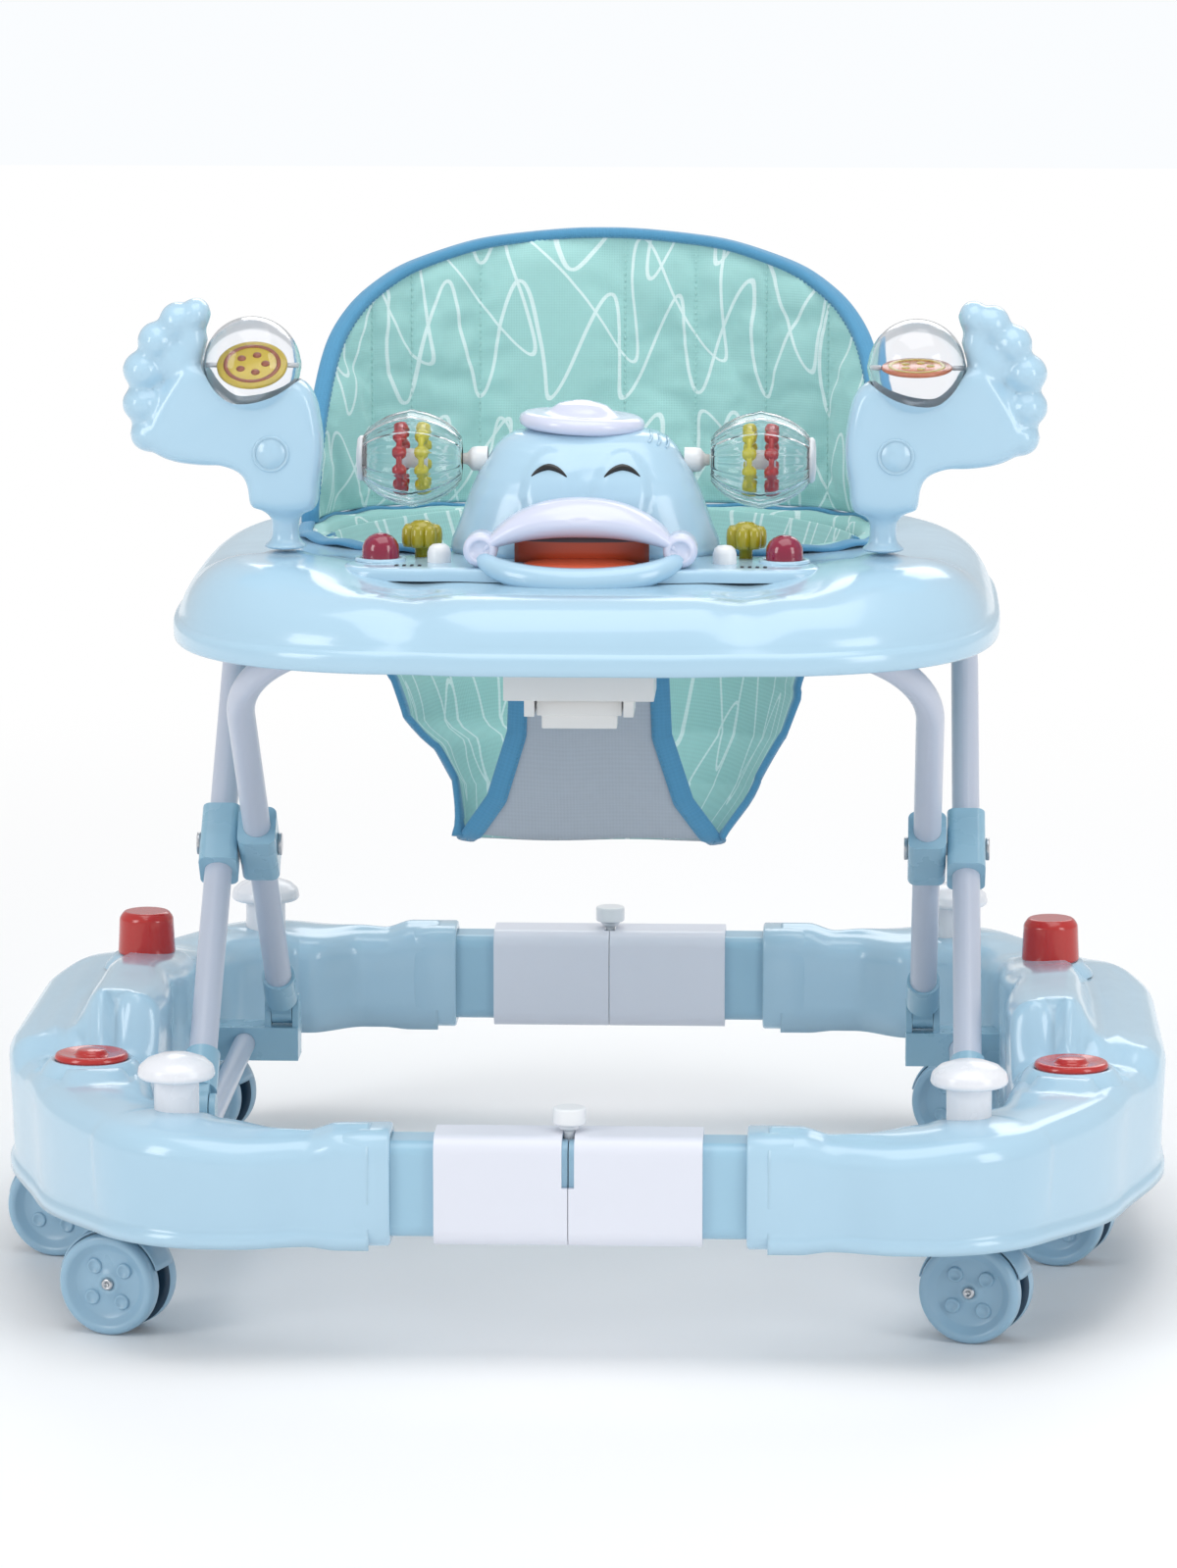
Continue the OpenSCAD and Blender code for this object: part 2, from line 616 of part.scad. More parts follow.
// Hollow ball with two stub pins for the disc inside it.
disc_r = 21;
module ball() {
    pin_l = ball_r - 1 - disc_r - 0.3;
    translate([ball_in[0], 0, ball_in[1]]) {
        difference() {
            sphere(ball_r);
            sphere(ball_r - 1.5);
        }
        for (s = [-1, 1]) translate([s * (ball_r - 1 - pin_l / 2), 0, 0]) x_rod(pin_l, 1.5);
    }
}
module ball_left() { color([0.9, 0.92, 0.95, 0.4]) toy(-1) ball(); }
module ball_right() { color([0.9, 0.92, 0.95, 0.4]) toy(1) ball(); }
module ball_disc(tilt) {
    translate([ball_in[0], 0, ball_in[1]]) rotate([tilt, 0, 0]) cylinder(h = 2.4, r = disc_r, center = true);
}
module ball_disc_left() { color([0.95, 0.80, 0.25]) toy(-1) ball_disc(35); }
module ball_disc_right() { color([0.90, 0.45, 0.25]) toy(1) ball_disc(8); }

// ---------- play panel and duck ----------

// Plan of the panel, drawn from its right half.
function panel_plan(in) = let (x = panel_x - in) [[x - 14, -168 + in], [x, -152 + in / 2], [x + 2, -130],
    [x - 4, -112], [x - 22, -98 - in], [82 - in, -86], [78 - in, -56], [62 - in / 2, -42 - in]];
module panel_slab(in, z0, z1) {
    p = panel_plan(in);
    front = [[60, -182 + in], [30, -192 + in]];
    half = concat(back_to_front(p), front);
    translate([0, 0, z0]) linear_extrude(height = z1 - z0)
        polygon(concat(half, [for (q = back_to_front(half)) [-q[0], q[1]]]));
}
module panel_body() {
    color([0.70, 0.83, 0.91]) difference() {
        panel_slab(0, deck_z + 0.5, panel_z);
        panel_slab(wall, deck_z - 1, panel_z - wall);
        pair() {
            translate([button_x, button_y, deck_z]) cylinder(h = 20, r = 11 + fit);
            translate([flower_x, flower_y, deck_z]) cylinder(h = 20, r = 4 + fit);
        }
    }
}

module red_button(side) {
    color([0.60, 0.10, 0.22]) translate([side * button_x, button_y, panel_z]) rotate_extrude()
        polygon([[0, -4.4], [13, -4.4], [13, -3.3], [11, -3.3], [11, 9], [9, 13], [5, 15.5], [0, 16.5]]);
}
module red_button_left() { red_button(-1); }
module red_button_right() { red_button(1); }

// Round knob with six lobes on a short stem.
module flower_knob(side) {
    color([0.62, 0.56, 0.12]) translate([side * flower_x, flower_y, panel_z]) {
        translate([0, 0, -4]) cylinder(h = 10, r = 4);
        translate([0, 0, -4.6]) cylinder(h = 1.2, r = 6);
        translate([0, 0, 5]) cylinder(h = 17, r = 9);
        for (a = [0 : 60 : 300]) rotate([0, 0, a]) translate([8.4, 0, 6]) cylinder(h = 13, r = 3.6);
    }
}
module flower_knob_left() { flower_knob(-1); }
module flower_knob_right() { flower_knob(1); }

// Rings of the head: half width, half depth, middle and height above the panel.
head_k = (head_h - panel_h) / 73;
head_rings = [[77, 43, head_y, 0], [76, 44, head_y, 6], [68, 44, head_y, 14], [65, 43, head_y, 30],
    [63, 40, head_y + 2, 44], [56, 35, head_y + 6, 57], [44, 27, head_y + 12, 67], [26, 16, head_y + 16, 72.5]];
function head_ring(r, in, lift) = [for (k = [0 : 39])
    let (q = oval(k * 9, r[0] - in, r[1] - in, r[2], 0.86))
    [q[0], q[1], panel_z + 0.2 + (r[3] - lift) * head_k]];
module duck_head() {
    inner = [for (i = [len(head_rings) - 1 : -1 : 0]) head_ring(head_rings[i], wall, i == 0 ? 0 : wall)];
    outer = [for (r = head_rings) head_ring(r, 0, 0)];
    top = head_rings[7];
    color([0.70, 0.83, 0.91]) union() {
        loft(concat(outer, inner), wrap = true);
        translate([0, top[2], panel_z + 0.2 + (top[3] - wall) * head_k]) scale([1, 0.62, 1]) cylinder(h = wall, r = top[0]);
        pair() {
            translate([67, rattle_y, rattle_z]) x_rod(12, 7);
            translate([81, rattle_y, rattle_z]) x_rod(20, 3.94);
        }
    }
}

module duck_hat() {
    color([0.90, 0.90, 0.95]) translate([0, head_y + 16, head_top + 1.4]) rotate_extrude()
        polygon([[0, 0], [26, 0], [36, 2], [37.5, 4], [36, 6], [25, 6], [20, 11], [12, 14], [0, 15]]);
}

// Upper bill: a broad crescent between two round cheeks.
module duck_bill() {
    color([0.88, 0.88, 0.94]) translate([0, bill_y, bill_z]) {
        rotate([90, 0, 0]) linear_extrude(height = 26) difference() {
            intersection() {
                translate([0, -88]) circle(112);
                translate([0, 18]) square([126, 46], center = true);
            }
            translate([0, -95]) circle(100);
        }
        for (x = [-1, 1]) translate([x * 61, 8, 0]) rotate([90, 0, 0]) cylinder(h = 34, r = 10);
    }
}
module duck_mouth() {
    color([0.80, 0.20, 0.14]) translate([0, bill_y - 8, panel_z + 0.2]) scale([1.5, 1, 1]) cylinder(h = 4, r = 18);
}

// Circuit board with its battery box and speaker, on the panel inside the head.
module electronics() {
    color([0.25, 0.5, 0.35]) translate([0, head_y, panel_z + 0.2]) union() {
        box(-30, 30, -20, 20, 0, 16);
        box(-36, 36, -24, 24, 15.9, 17.5);
        translate([0, 0, 17.4]) cylinder(h = 14, r = 17);
    }
}

// ---------- rattles ----------

rattle_l = 60;
module rattle(side) {
    r = rattle_r;
    h = rattle_l / 2;
    color([0.9, 0.9, 0.95, 0.4]) translate([side * rattle_x, rattle_y, rattle_z]) rotate([0, side * 90, 0]) rotate_extrude()
        polygon([[4, -h], [r - 12, -h], [r - 5, -h + 8], [r - 1, -8], [r, 0], [r - 1, 8], [r - 5, h - 8], [r - 12, h],
            [0, h + 2], [0, h - 1], [r - 13, h - 1.5], [r - 6.5, h - 9], [r - 2.5, 8], [r - 1.5, 0], [r - 2.5, -8],
            [r - 6.5, -h + 9], [r - 13, -h + 1.5], [4, -h + 1.5]]);
}
module rattle_left() { rattle(-1); }
module rattle_right() { rattle(1); }

// Rings of beads inside a rattle, on a thin plate fixed to its wall.
module rattle_beads(side) {
    n = 8;
    color([0.85, 0.45, 0.2]) translate([side * rattle_x, rattle_y, rattle_z]) rotate([0, side * 90, 0]) {
        cylinder(h = 2, r = rattle_r - 2.4, center = true);
        for (z = [-8, 8], i = [0 : n - 1])
            rotate([0, 0, i * 360 / n]) translate([15, 0, z * 0.62]) cylinder(h = 9, r = 4, center = true);
    }
}
module rattle_beads_left() { rattle_beads(-1); }
module rattle_beads_right() { rattle_beads(1); }

// ---------- seat ----------

// Padded back: follows the back of the opening and rises to an arch.
function back_top(a) = lookup(abs(a - 90), [[0, back_h], [20, back_h * 0.96], [40, back_h * 0.87], [55, back_h * 0.76],
    [67, back_h * 0.63], [78, back_h * 0.38], [88, 10]]);
function back_point(a, h, out) =
    let (q = oval(a, hole_x + 7 + out, hole_b + 9 + out, hole_y, 0.78), lean = 18 * h / back_h * sin(a))
    [q[0], q[1] + lean, deck_z + 0.6 + h];
function back_section(a) = let (h = back_top(a))
    [back_point(a, 0, 0), back_point(a, h * 0.5, 0), back_point(a, h, 3), back_point(a, h, back_t - 3),
     back_point(a, h * 0.5, back_t), back_point(a, 0, back_t)];
module seat_backrest() {
    color([0.66, 0.83, 0.81]) loft([for (i = [0 : 44]) back_section(2 + i * 4)]);
}

// Sling: a fabric bag in the opening with two leg holes.
sling_x = 122;
sling_z = rim_z - sling_drop;
sling_rings = [[hole_x - 1, hole_b - 1, hole_y, deck_z + 1], [hole_x - 3, hole_b - 3, hole_y, deck_z - 20],
    [sling_x + 8, hole_b - 10, hole_y, deck_z - 70], [sling_x, hole_b - 22, hole_y - 4, sling_z + 62],
    [sling_x - 8, 58, hole_y - 14, sling_z + 24], [sling_x - 28, 30, hole_y - 18, sling_z + 5],
    [sling_x - 50, 16, hole_y - 20, sling_z]];
function sling_ring(r, in, lift) = [for (k = [0 : 47])
    let (q = oval(k * 7.5, r[0] - in, r[1] - in, r[2], 0.8)) [q[0], q[1], r[3] + lift]];
module seat_sling() {
    outer = [for (i = [6 : -1 : 0]) sling_ring(sling_rings[i], 0, 0)];
    inner = [for (i = [0 : 6]) sling_ring(sling_rings[i], cloth_t, i == 6 ? cloth_t : i == 0 ? 0 : 1)];
    color([0.62, 0.70, 0.74]) difference() {
        loft(concat(outer, inner));
        pair() translate([66, hole_y - hole_b, sling_z + 66]) rotate([90, 0, 0]) scale([0.8, 1, 1]) cylinder(h = 150, r = 46, center = true);
    }
}

base_shell_left();
base_shell_right();
crossbar_inserts();
front_sleeve();
rear_sleeve();
red_caps();
rail_tubes();
rail_brackets();
front_lock_pin();
rear_lock_pin();
caster_fork_front_left();
caster_fork_front_right();
caster_fork_mid_left();
caster_fork_mid_right();
caster_fork_rear_left();
caster_fork_rear_right();
caster_wheels_front_left();
caster_wheels_front_right();
caster_wheels_mid_left();
caster_wheels_mid_right();
caster_wheels_rear_left();
caster_wheels_rear_right();
brake_post_front_left();
brake_post_front_right();
brake_post_rear_left();
brake_post_rear_right();
front_tube();
rear_tube();
front_tube_blocks();
rear_tube_blocks();
cross_pins();
front_tube_feet();
rear_tube_feet();
rail_sliders();
tray_shell();
tube_clamps();
latch_housing();
latch_lever();
hand_left();
hand_right();
ball_left();
ball_right();
ball_disc_left();
ball_disc_right();
panel_body();
duck_head();
duck_bill();
duck_hat();
duck_mouth();
electronics();
red_button_left();
red_button_right();
flower_knob_left();
flower_knob_right();
rattle_left();
rattle_right();
rattle_beads_left();
rattle_beads_right();
seat_backrest();
seat_sling();
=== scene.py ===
# A folding baby walker: a base ring on six twin casters, two crossed U tubes, a toy tray with a
# duck-faced play panel and two hand toys, and a padded fabric seat. Sizes are written in
# millimetres and become metres when a mesh is made.
import math

import bmesh
import bpy
from mathutils import Matrix, Vector


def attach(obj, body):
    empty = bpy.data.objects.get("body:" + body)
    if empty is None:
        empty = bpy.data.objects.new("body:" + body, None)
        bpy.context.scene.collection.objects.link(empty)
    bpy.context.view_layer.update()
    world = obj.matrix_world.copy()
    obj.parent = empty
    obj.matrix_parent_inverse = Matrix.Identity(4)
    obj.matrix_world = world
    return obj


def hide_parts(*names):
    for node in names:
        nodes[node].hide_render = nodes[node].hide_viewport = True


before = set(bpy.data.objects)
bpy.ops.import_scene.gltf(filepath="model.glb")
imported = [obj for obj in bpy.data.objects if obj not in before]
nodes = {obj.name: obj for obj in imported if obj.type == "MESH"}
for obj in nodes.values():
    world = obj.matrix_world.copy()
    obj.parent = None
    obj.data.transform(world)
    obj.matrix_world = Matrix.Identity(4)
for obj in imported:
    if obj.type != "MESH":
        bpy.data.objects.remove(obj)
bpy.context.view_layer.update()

# ---- Floor, light and camera ----
# A studio table with a soft pale floor. The camera stands a little to the right of the walker's
# middle line, about four metres off, at the height of the seat back, and looks slightly down.
camera_data = bpy.data.cameras.new("studio_camera")
camera_data.sensor_width = 36
camera_data.lens = 146.7
camera_data.clip_end = 50
camera = bpy.data.objects.new("studio_camera", camera_data)
bpy.context.scene.collection.objects.link(camera)
pitch, yaw = math.radians(9.71), math.radians(2.39)
camera.location = (0.1593, -3.860, 0.9435)
looking = Vector((-math.sin(yaw) * math.cos(pitch), math.cos(yaw) * math.cos(pitch), -math.sin(pitch)))
camera.rotation_euler = looking.to_track_quat("-Z", "Y").to_euler()
bpy.context.scene.camera = camera

floor_mesh = bpy.data.meshes.new("studio_floor")
floor_mesh.from_pydata([(-9, -9, 0), (9, -9, 0), (9, 9, 0), (-9, 9, 0)], [], [(0, 1, 2, 3)])
studio_floor = bpy.data.objects.new("studio_floor", floor_mesh)
bpy.context.scene.collection.objects.link(studio_floor)
floor_paint = bpy.data.materials.new("floor_paint")
floor_paint.use_nodes = True
floor_shader = floor_paint.node_tree.nodes["Principled BSDF"]
floor_shader.inputs["Base Color"].default_value = (0.92, 0.92, 0.925, 1)
floor_shader.inputs["Roughness"].default_value = 0.65
floor_glow = floor_paint.node_tree.nodes.new("ShaderNodeEmission")
floor_blend = floor_paint.node_tree.nodes.new("ShaderNodeMixShader")
floor_place = floor_paint.node_tree.nodes.new("ShaderNodeTexCoord")
floor_reach = floor_paint.node_tree.nodes.new("ShaderNodeVectorMath")
floor_fade = floor_paint.node_tree.nodes.new("ShaderNodeMapRange")
floor_reach.operation = "LENGTH"
floor_fade.interpolation_type = "SMOOTHSTEP"
floor_fade.inputs["From Min"].default_value = 0.45
floor_fade.inputs["From Max"].default_value = 2.2
floor_links = floor_paint.node_tree.links
floor_links.new(floor_place.outputs["Object"], floor_reach.inputs[0])
floor_links.new(floor_reach.outputs["Value"], floor_fade.inputs["Value"])
floor_links.new(floor_fade.outputs["Result"], floor_blend.inputs["Fac"])
floor_links.new(floor_shader.outputs["BSDF"], floor_blend.inputs[1])
floor_links.new(floor_glow.outputs["Emission"], floor_blend.inputs[2])
floor_links.new(floor_blend.outputs["Shader"],
    floor_paint.node_tree.nodes["Material Output"].inputs["Surface"])
floor_mesh.materials.append(floor_paint)

room = bpy.data.worlds.new("studio_room")
bpy.context.scene.world = room
room.use_nodes = True
room.node_tree.nodes["Background"].inputs["Color"].default_value = (0.96, 0.98, 1.0, 1)
room.node_tree.nodes["Background"].inputs["Strength"].default_value = 0.62
seen_directly = room.node_tree.nodes.new("ShaderNodeLightPath")
backdrop_light = room.node_tree.nodes.new("ShaderNodeMapRange")
backdrop_light.inputs["To Min"].default_value = 0.62
backdrop_light.inputs["To Max"].default_value = 1.0
room.node_tree.links.new(seen_directly.outputs["Is Camera Ray"], backdrop_light.inputs["Value"])
room.node_tree.links.new(backdrop_light.outputs["Result"],
    room.node_tree.nodes["Background"].inputs["Strength"])
bpy.context.scene.view_settings.view_transform = "Standard"


def softbox(name, place, aim, width, height, watts):
    lamp = bpy.data.lights.new(name, "AREA")
    lamp.shape = "RECTANGLE"
    lamp.size, lamp.size_y, lamp.energy = width, height, watts
    box = bpy.data.objects.new(name, lamp)
    bpy.context.scene.collection.objects.link(box)
    box.location = place
    box.rotation_euler = (Vector(aim) - Vector(place)).to_track_quat("-Z", "Y").to_euler()


softbox("overhead_softbox", (0.2, -0.4, 2.6), (0, 0, 0.2), 2.2, 2.0, 26)
softbox("left_softbox", (-2.4, -2.0, 1.5), (0, 0, 0.3), 1.0, 1.8, 26)
softbox("right_softbox", (2.4, -1.8, 1.3), (0, 0, 0.3), 1.0, 1.8, 22)
softbox("back_softbox", (0.3, 2.6, 1.9), (0, 0, 0.4), 2.2, 1.2, 16)

# ---- Base shells ----
# The two moulded polypropylene halves of the base: thin glossy shells, open below, that run
# from the front collar round a rounded corner and along the side to the rear collar. The side
# has a tall inner hump for the cup, a lower fluted outer hump and a boss for the red disc.
COLLAR_X, BAR_Y, BAR_Z, SIDE_MID = 101.5, 305.0, 102.0, 301.5
CORNER, FLANK, TURN = 50.0, 410.0, math.radians(60)
ARM = SIDE_MID - COLLAR_X - CORNER * math.sin(TURN) - FLANK * (1 - math.sin(TURN))
BEND_END = ARM + TURN * CORNER
SIDE_START = BEND_END + (math.pi / 2 - TURN) * FLANK
FLANK_Y = BAR_Y - CORNER * (1 - math.cos(TURN)) - FLANK * math.cos(TURN)
RUN = 2 * (SIDE_START + FLANK_Y)


def surface_group():
    """Shader group for moulded plastic: slow tint drift, uneven gloss and a fine grain."""
    tree = bpy.data.node_groups.new("moulded_surface", "ShaderNodeTree")
    for label, kind, value in (("Colour", "NodeSocketColor", (0.5, 0.5, 0.5, 1)),
        ("Drift", "NodeSocketFloat", 0.06),
                               ("Gloss", "NodeSocketFloat", 0.25), ("Gloss drift", "NodeSocketFloat", 0.1),
                               ("Grain size", "NodeSocketFloat", 900.0),
        ("Grain depth", "NodeSocketFloat", 0.05)):
        socket = tree.interface.new_socket(label, in_out="INPUT", socket_type=kind)
        socket.default_value = value
    for label, kind in (("Colour", "NodeSocketColor"), ("Roughness", "NodeSocketFloat"),
        ("Normal", "NodeSocketVector")):
        tree.interface.new_socket(label, in_out="OUTPUT", socket_type=kind)
    new, link = tree.nodes.new, tree.links.new
    given, made = new("NodeGroupInput"), new("NodeGroupOutput")
    where = new("ShaderNodeTexCoord")
    drift = new("ShaderNodeTexNoise")
    drift.inputs["Scale"].default_value = 7
    drift.inputs["Detail"].default_value = 3
    link(where.outputs["Object"], drift.inputs["Vector"])
    centred = new("ShaderNodeMath")
    centred.operation = "SUBTRACT"
    centred.inputs[1].default_value = 0.5
    link(drift.outputs["Fac"], centred.inputs[0])
    tint = new("ShaderNodeMath")
    tint.operation = "MULTIPLY_ADD"
    tint.inputs[2].default_value = 1
    link(centred.outputs[0], tint.inputs[0])
    link(given.outputs["Drift"], tint.inputs[1])
    shade = new("ShaderNodeHueSaturation")
    link(tint.outputs[0], shade.inputs["Value"])
    link(given.outputs["Colour"], shade.inputs["Color"])
    link(shade.outputs["Color"], made.inputs["Colour"])
    smear = new("ShaderNodeTexNoise")
    smear.inputs["Scale"].default_value = 38
    smear.inputs["Detail"].default_value = 4
    link(where.outputs["Object"], smear.inputs["Vector"])
    smear_centre = new("ShaderNodeMath")
    smear_centre.operation = "SUBTRACT"
    smear_centre.inputs[1].default_value = 0.5
    link(smear.outputs["Fac"], smear_centre.inputs[0])
    rough = new("ShaderNodeMath")
    rough.operation = "MULTIPLY_ADD"
    rough.use_clamp = True
    link(smear_centre.outputs[0], rough.inputs[0])
    link(given.outputs["Gloss drift"], rough.inputs[1])
    link(given.outputs["Gloss"], rough.inputs[2])
    link(rough.outputs[0], made.inputs["Roughness"])
    grain = new("ShaderNodeTexNoise")
    grain.inputs["Detail"].default_value = 2
    link(where.outputs["Object"], grain.inputs["Vector"])
    link(given.outputs["Grain size"], grain.inputs["Scale"])
    bump = new("ShaderNodeBump")
    bump.inputs["Distance"].default_value = 0.0003
    link(given.outputs["Grain depth"], bump.inputs["Strength"])
    link(grain.outputs["Fac"], bump.inputs["Height"])
    link(bump.outputs["Normal"], made.inputs["Normal"])
    return tree


moulded_surface = surface_group()


def finish_of(name, colour, gloss, drift=0.08, coat=0.0, metal=0.0, grain=0.05, size=900.0,
    gloss_drift=0.12):
    """A material on the moulded surface, with its own colour, gloss and coat."""
    paint = bpy.data.materials.new(name)
    paint.use_nodes = True
    shader = paint.node_tree.nodes["Principled BSDF"]
    skin = paint.node_tree.nodes.new("ShaderNodeGroup")
    skin.node_tree = moulded_surface
    for label, value in (("Colour", (*colour, 1)), ("Drift", drift), ("Gloss", gloss),
        ("Gloss drift", gloss_drift),
                         ("Grain size", size), ("Grain depth", grain)):
        skin.inputs[label].default_value = value
    link = paint.node_tree.links.new
    link(skin.outputs["Colour"], shader.inputs["Base Color"])
    link(skin.outputs["Roughness"], shader.inputs["Roughness"])
    link(skin.outputs["Normal"], shader.inputs["Normal"])
    shader.inputs["Coat Weight"].default_value = coat
    shader.inputs["Coat Roughness"].default_value = 0.06
    shader.inputs["Metallic"].default_value = metal
    return paint


shell_blue = finish_of("shell_blue_plastic", (0.42, 0.62, 0.76), 0.2, coat=0.35)


def new_piece(name, points, faces, paint, smooth=True):
    """A mesh piece at the origin, from points in millimetres."""
    mesh = bpy.data.meshes.new(name)
    mesh.from_pydata([Vector(p) * 0.001 for p in points], [], faces)
    mesh.materials.append(paint)
    piece = bpy.data.objects.new(name, mesh)
    bpy.context.scene.collection.objects.link(piece)
    tidy = bmesh.new()
    tidy.from_mesh(mesh)
    bmesh.ops.remove_doubles(tidy, verts=tidy.verts, dist=0.00002)
    bmesh.ops.recalc_face_normals(tidy, faces=tidy.faces)
    for face in tidy.faces:
        face.smooth = smooth
    tidy.to_mesh(mesh)
    tidy.free()
    return piece


def skin_of(rings, around=False, along=False, capped=False):
    """Points and faces over a row of rings. around closes each ring, along joins the last ring to the first."""
    count = len(rings[0])
    points = [p for ring in rings for p in ring]
    faces = []
    for i in range(len(rings) if along else len(rings) - 1):
        for j in range(count if around else count - 1):
            a, b = i * count, ((i + 1) % len(rings)) * count
            k = (j + 1) % count
            faces.append((a + j, b + j, b + k, a + k))
    if capped:
        faces.append(tuple(range(count)))
        faces.append(tuple(range(len(points) - 1, len(points) - count - 1, -1)))
    return points, faces


def lathe(profile, place, turn=Matrix.Identity(3), steps=48):
    """Points and faces of a profile of (radius, height) turned about an axis through place."""
    rings = []
    for radius, height in profile:
        ring = []
        for i in range(steps):
            angle = 2 * math.pi * i / steps
            spot = turn @ Vector((radius * math.cos(angle), radius * math.sin(angle), height))
            ring.append(Vector(place) + spot)
        rings.append(ring)
    return skin_of(rings, around=True)


def joined(*parts):
    """Several (points, faces) as one."""
    points, faces = [], []
    for more_points, more_faces in parts:
        faces += [tuple(i + len(points) for i in face) for face in more_faces]
        points += list(more_points)
    return points, faces


def add_modifier(piece, kind, **settings):
    step = piece.modifiers.new(kind.lower(), kind)
    for key, value in settings.items():
        setattr(step, key, value)
    return step


def rides(piece, body, slot, *stands_for):
    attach(piece, body)
    if stands_for:
        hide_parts(*stands_for)


def ease(x, x0, x1):
    """0 before x0, 1 after x1, smooth between."""
    t = min(1.0, max(0.0, (x - x0) / (x1 - x0)))
    return t * t * (3 - 2 * t)


def between(x, table):
    """Smooth interpolation in a table of (x, value)."""
    for (x0, v0), (x1, v1) in zip(table, table[1:]):
        if x <= x1:
            return v0 + (v1 - v0) * ease(x, x0, x1)
    return table[-1][1]


def shell_line(s):
    """Centre point and outward direction of the left shell, s millimetres from its front collar."""
    if s > RUN / 2:
        x, y, u, v = shell_line(RUN - s)
        return x, -y, u, -v
    if s < ARM:
        return -(COLLAR_X + s), -BAR_Y, 0.0, -1.0
    if s < BEND_END:
        a = (s - ARM) / CORNER
        return -(COLLAR_X + ARM) - CORNER * math.sin(a), -(BAR_Y
            - CORNER) - CORNER * math.cos(a), -math.sin(a), -math.cos(a)
    if s < SIDE_START:
        a = TURN + (s - BEND_END) / FLANK
        return -(SIDE_MID
            - FLANK) - FLANK * math.sin(a), -FLANK_Y - FLANK * math.cos(a), -math.sin(a), -math.cos(a)
    return -SIDE_MID, -FLANK_Y + s - SIDE_START, -1.0, 0.0


def shell_top(s, w):
    """Height of the shell's top at s, w millimetres outside its centre line."""
    k = min(s, RUN - s)
    x, y, u, v = shell_line(s)
    arm = 136 - 4.5 * ease(k, 30, 48) + 4 * ease(k, 80, 130)
    if k < ARM - 10:
        return arm
    flute = 6 * math.cos(w * 2 * math.pi / 19)
    inner = between(y, [(-400, 0), (-135 + flute, 0), (-106 + flute, 36), (-20, 34), (96, 22), (150, 10),
        (225, 0), (400, 0)])
    outer = between(y, [(-400, 0), (-132 + flute, 0), (-100 + flute, 11), (120, 10), (225, 0), (400, 0)])
    ridge = 1.4 * math.cos(w * 2 * math.pi / 19) * ease(y, -140, -105) * (1 - ease(y, 60, 200))
    share = ease(w, -8, 12)
    around = math.hypot(x + w * u + 290, y + w * v + 165)
    boss = 6.0 * (1 - ease(around, 25, 47))
    dish = -2.5 * math.sin(math.pi * share) * (1 if inner > 12 else 0)
    return arm + max(inner * (1 - share) + outer * share + dish, boss) + ridge * share


def shell_section(s):
    k = min(s, RUN - s)
    x, y, u, v = shell_line(s)
    flank = SIDE_START - BEND_END
    nose = ease(k, 46, 66) * (1 - ease(k, BEND_END + 2, BEND_END + 10))
    out = between(k, [(0, 23), (28, 23), (48, 21), (ARM * 0.85, 29.5), (BEND_END, 29.5),
        (BEND_END + flank * 0.5, 35), (SIDE_START, 48.5)])
    inn = between(k, [(0, 22.5), (ARM * 0.6, 22), (ARM * 0.94, 43), (BEND_END, 43),
        (BEND_END + flank * 0.22, 29), (BEND_END + flank * 0.5, 36), (SIDE_START, 48.5)])
    inn -= 6 * math.exp(-((y + 4) / 34) ** 2)
    foot = 68 + 1.5 * ease(k, 30, 48) if k < ARM else between(abs(y),
        [(0, 58), (150, 58), (190, 62.5), (305, 69.5)])
    if k > ARM + 20 and y < 6:
        foot = max(foot, 62.5)
    rim = 1.6 * ease(k, 46, 66)
    profile = []
    low, r = foot, 15
    edge_in, edge_out = shell_top(s, -inn), shell_top(s, out)
    for t in (0, 0.35, 0.7):
        profile.append((-inn + 0.4 * t, low + (edge_in - r - low) * t))
    for a in (0, 15, 30, 45, 60, 75, 90):
        c, n = math.cos(math.radians(a)), math.sin(math.radians(a))
        profile.append((-inn + r - r * c, edge_in - r + r * n))
    for t in (0.1, 0.2, 0.3, 0.38, 0.45, 0.52, 0.6, 0.7, 0.8, 0.9):
        w = -inn + r + (inn + out - 2 * r) * t
        profile.append((w, shell_top(s, w) + (1.5 + nose) * math.sin(math.pi * t)))
    for a in (90, 75, 60, 45, 30, 15, 0):
        c, n = math.cos(math.radians(a)), math.sin(math.radians(a))
        profile.append((out - r + r * c + nose * c, edge_out - r + r * n))
    for lift, step in ((30, 0.0), (20, -0.2), (12, -0.8), (9.2, -1.0), (7.6, 0.0), (6, rim), (0, rim)):
        profile.append((out + nose * ease(lift, 8, 26) - rim + step, low + lift))
    return [(x + w * u, y + w * v, z) for w, z in profile]


def mirrored(points, faces):
    return [(-p[0], p[1], p[2]) for p in points], [tuple(reversed(face)) for face in faces]


def add_wall(piece, thickness):
    add_modifier(piece, "SOLIDIFY", thickness=thickness * 0.001, offset=-1)


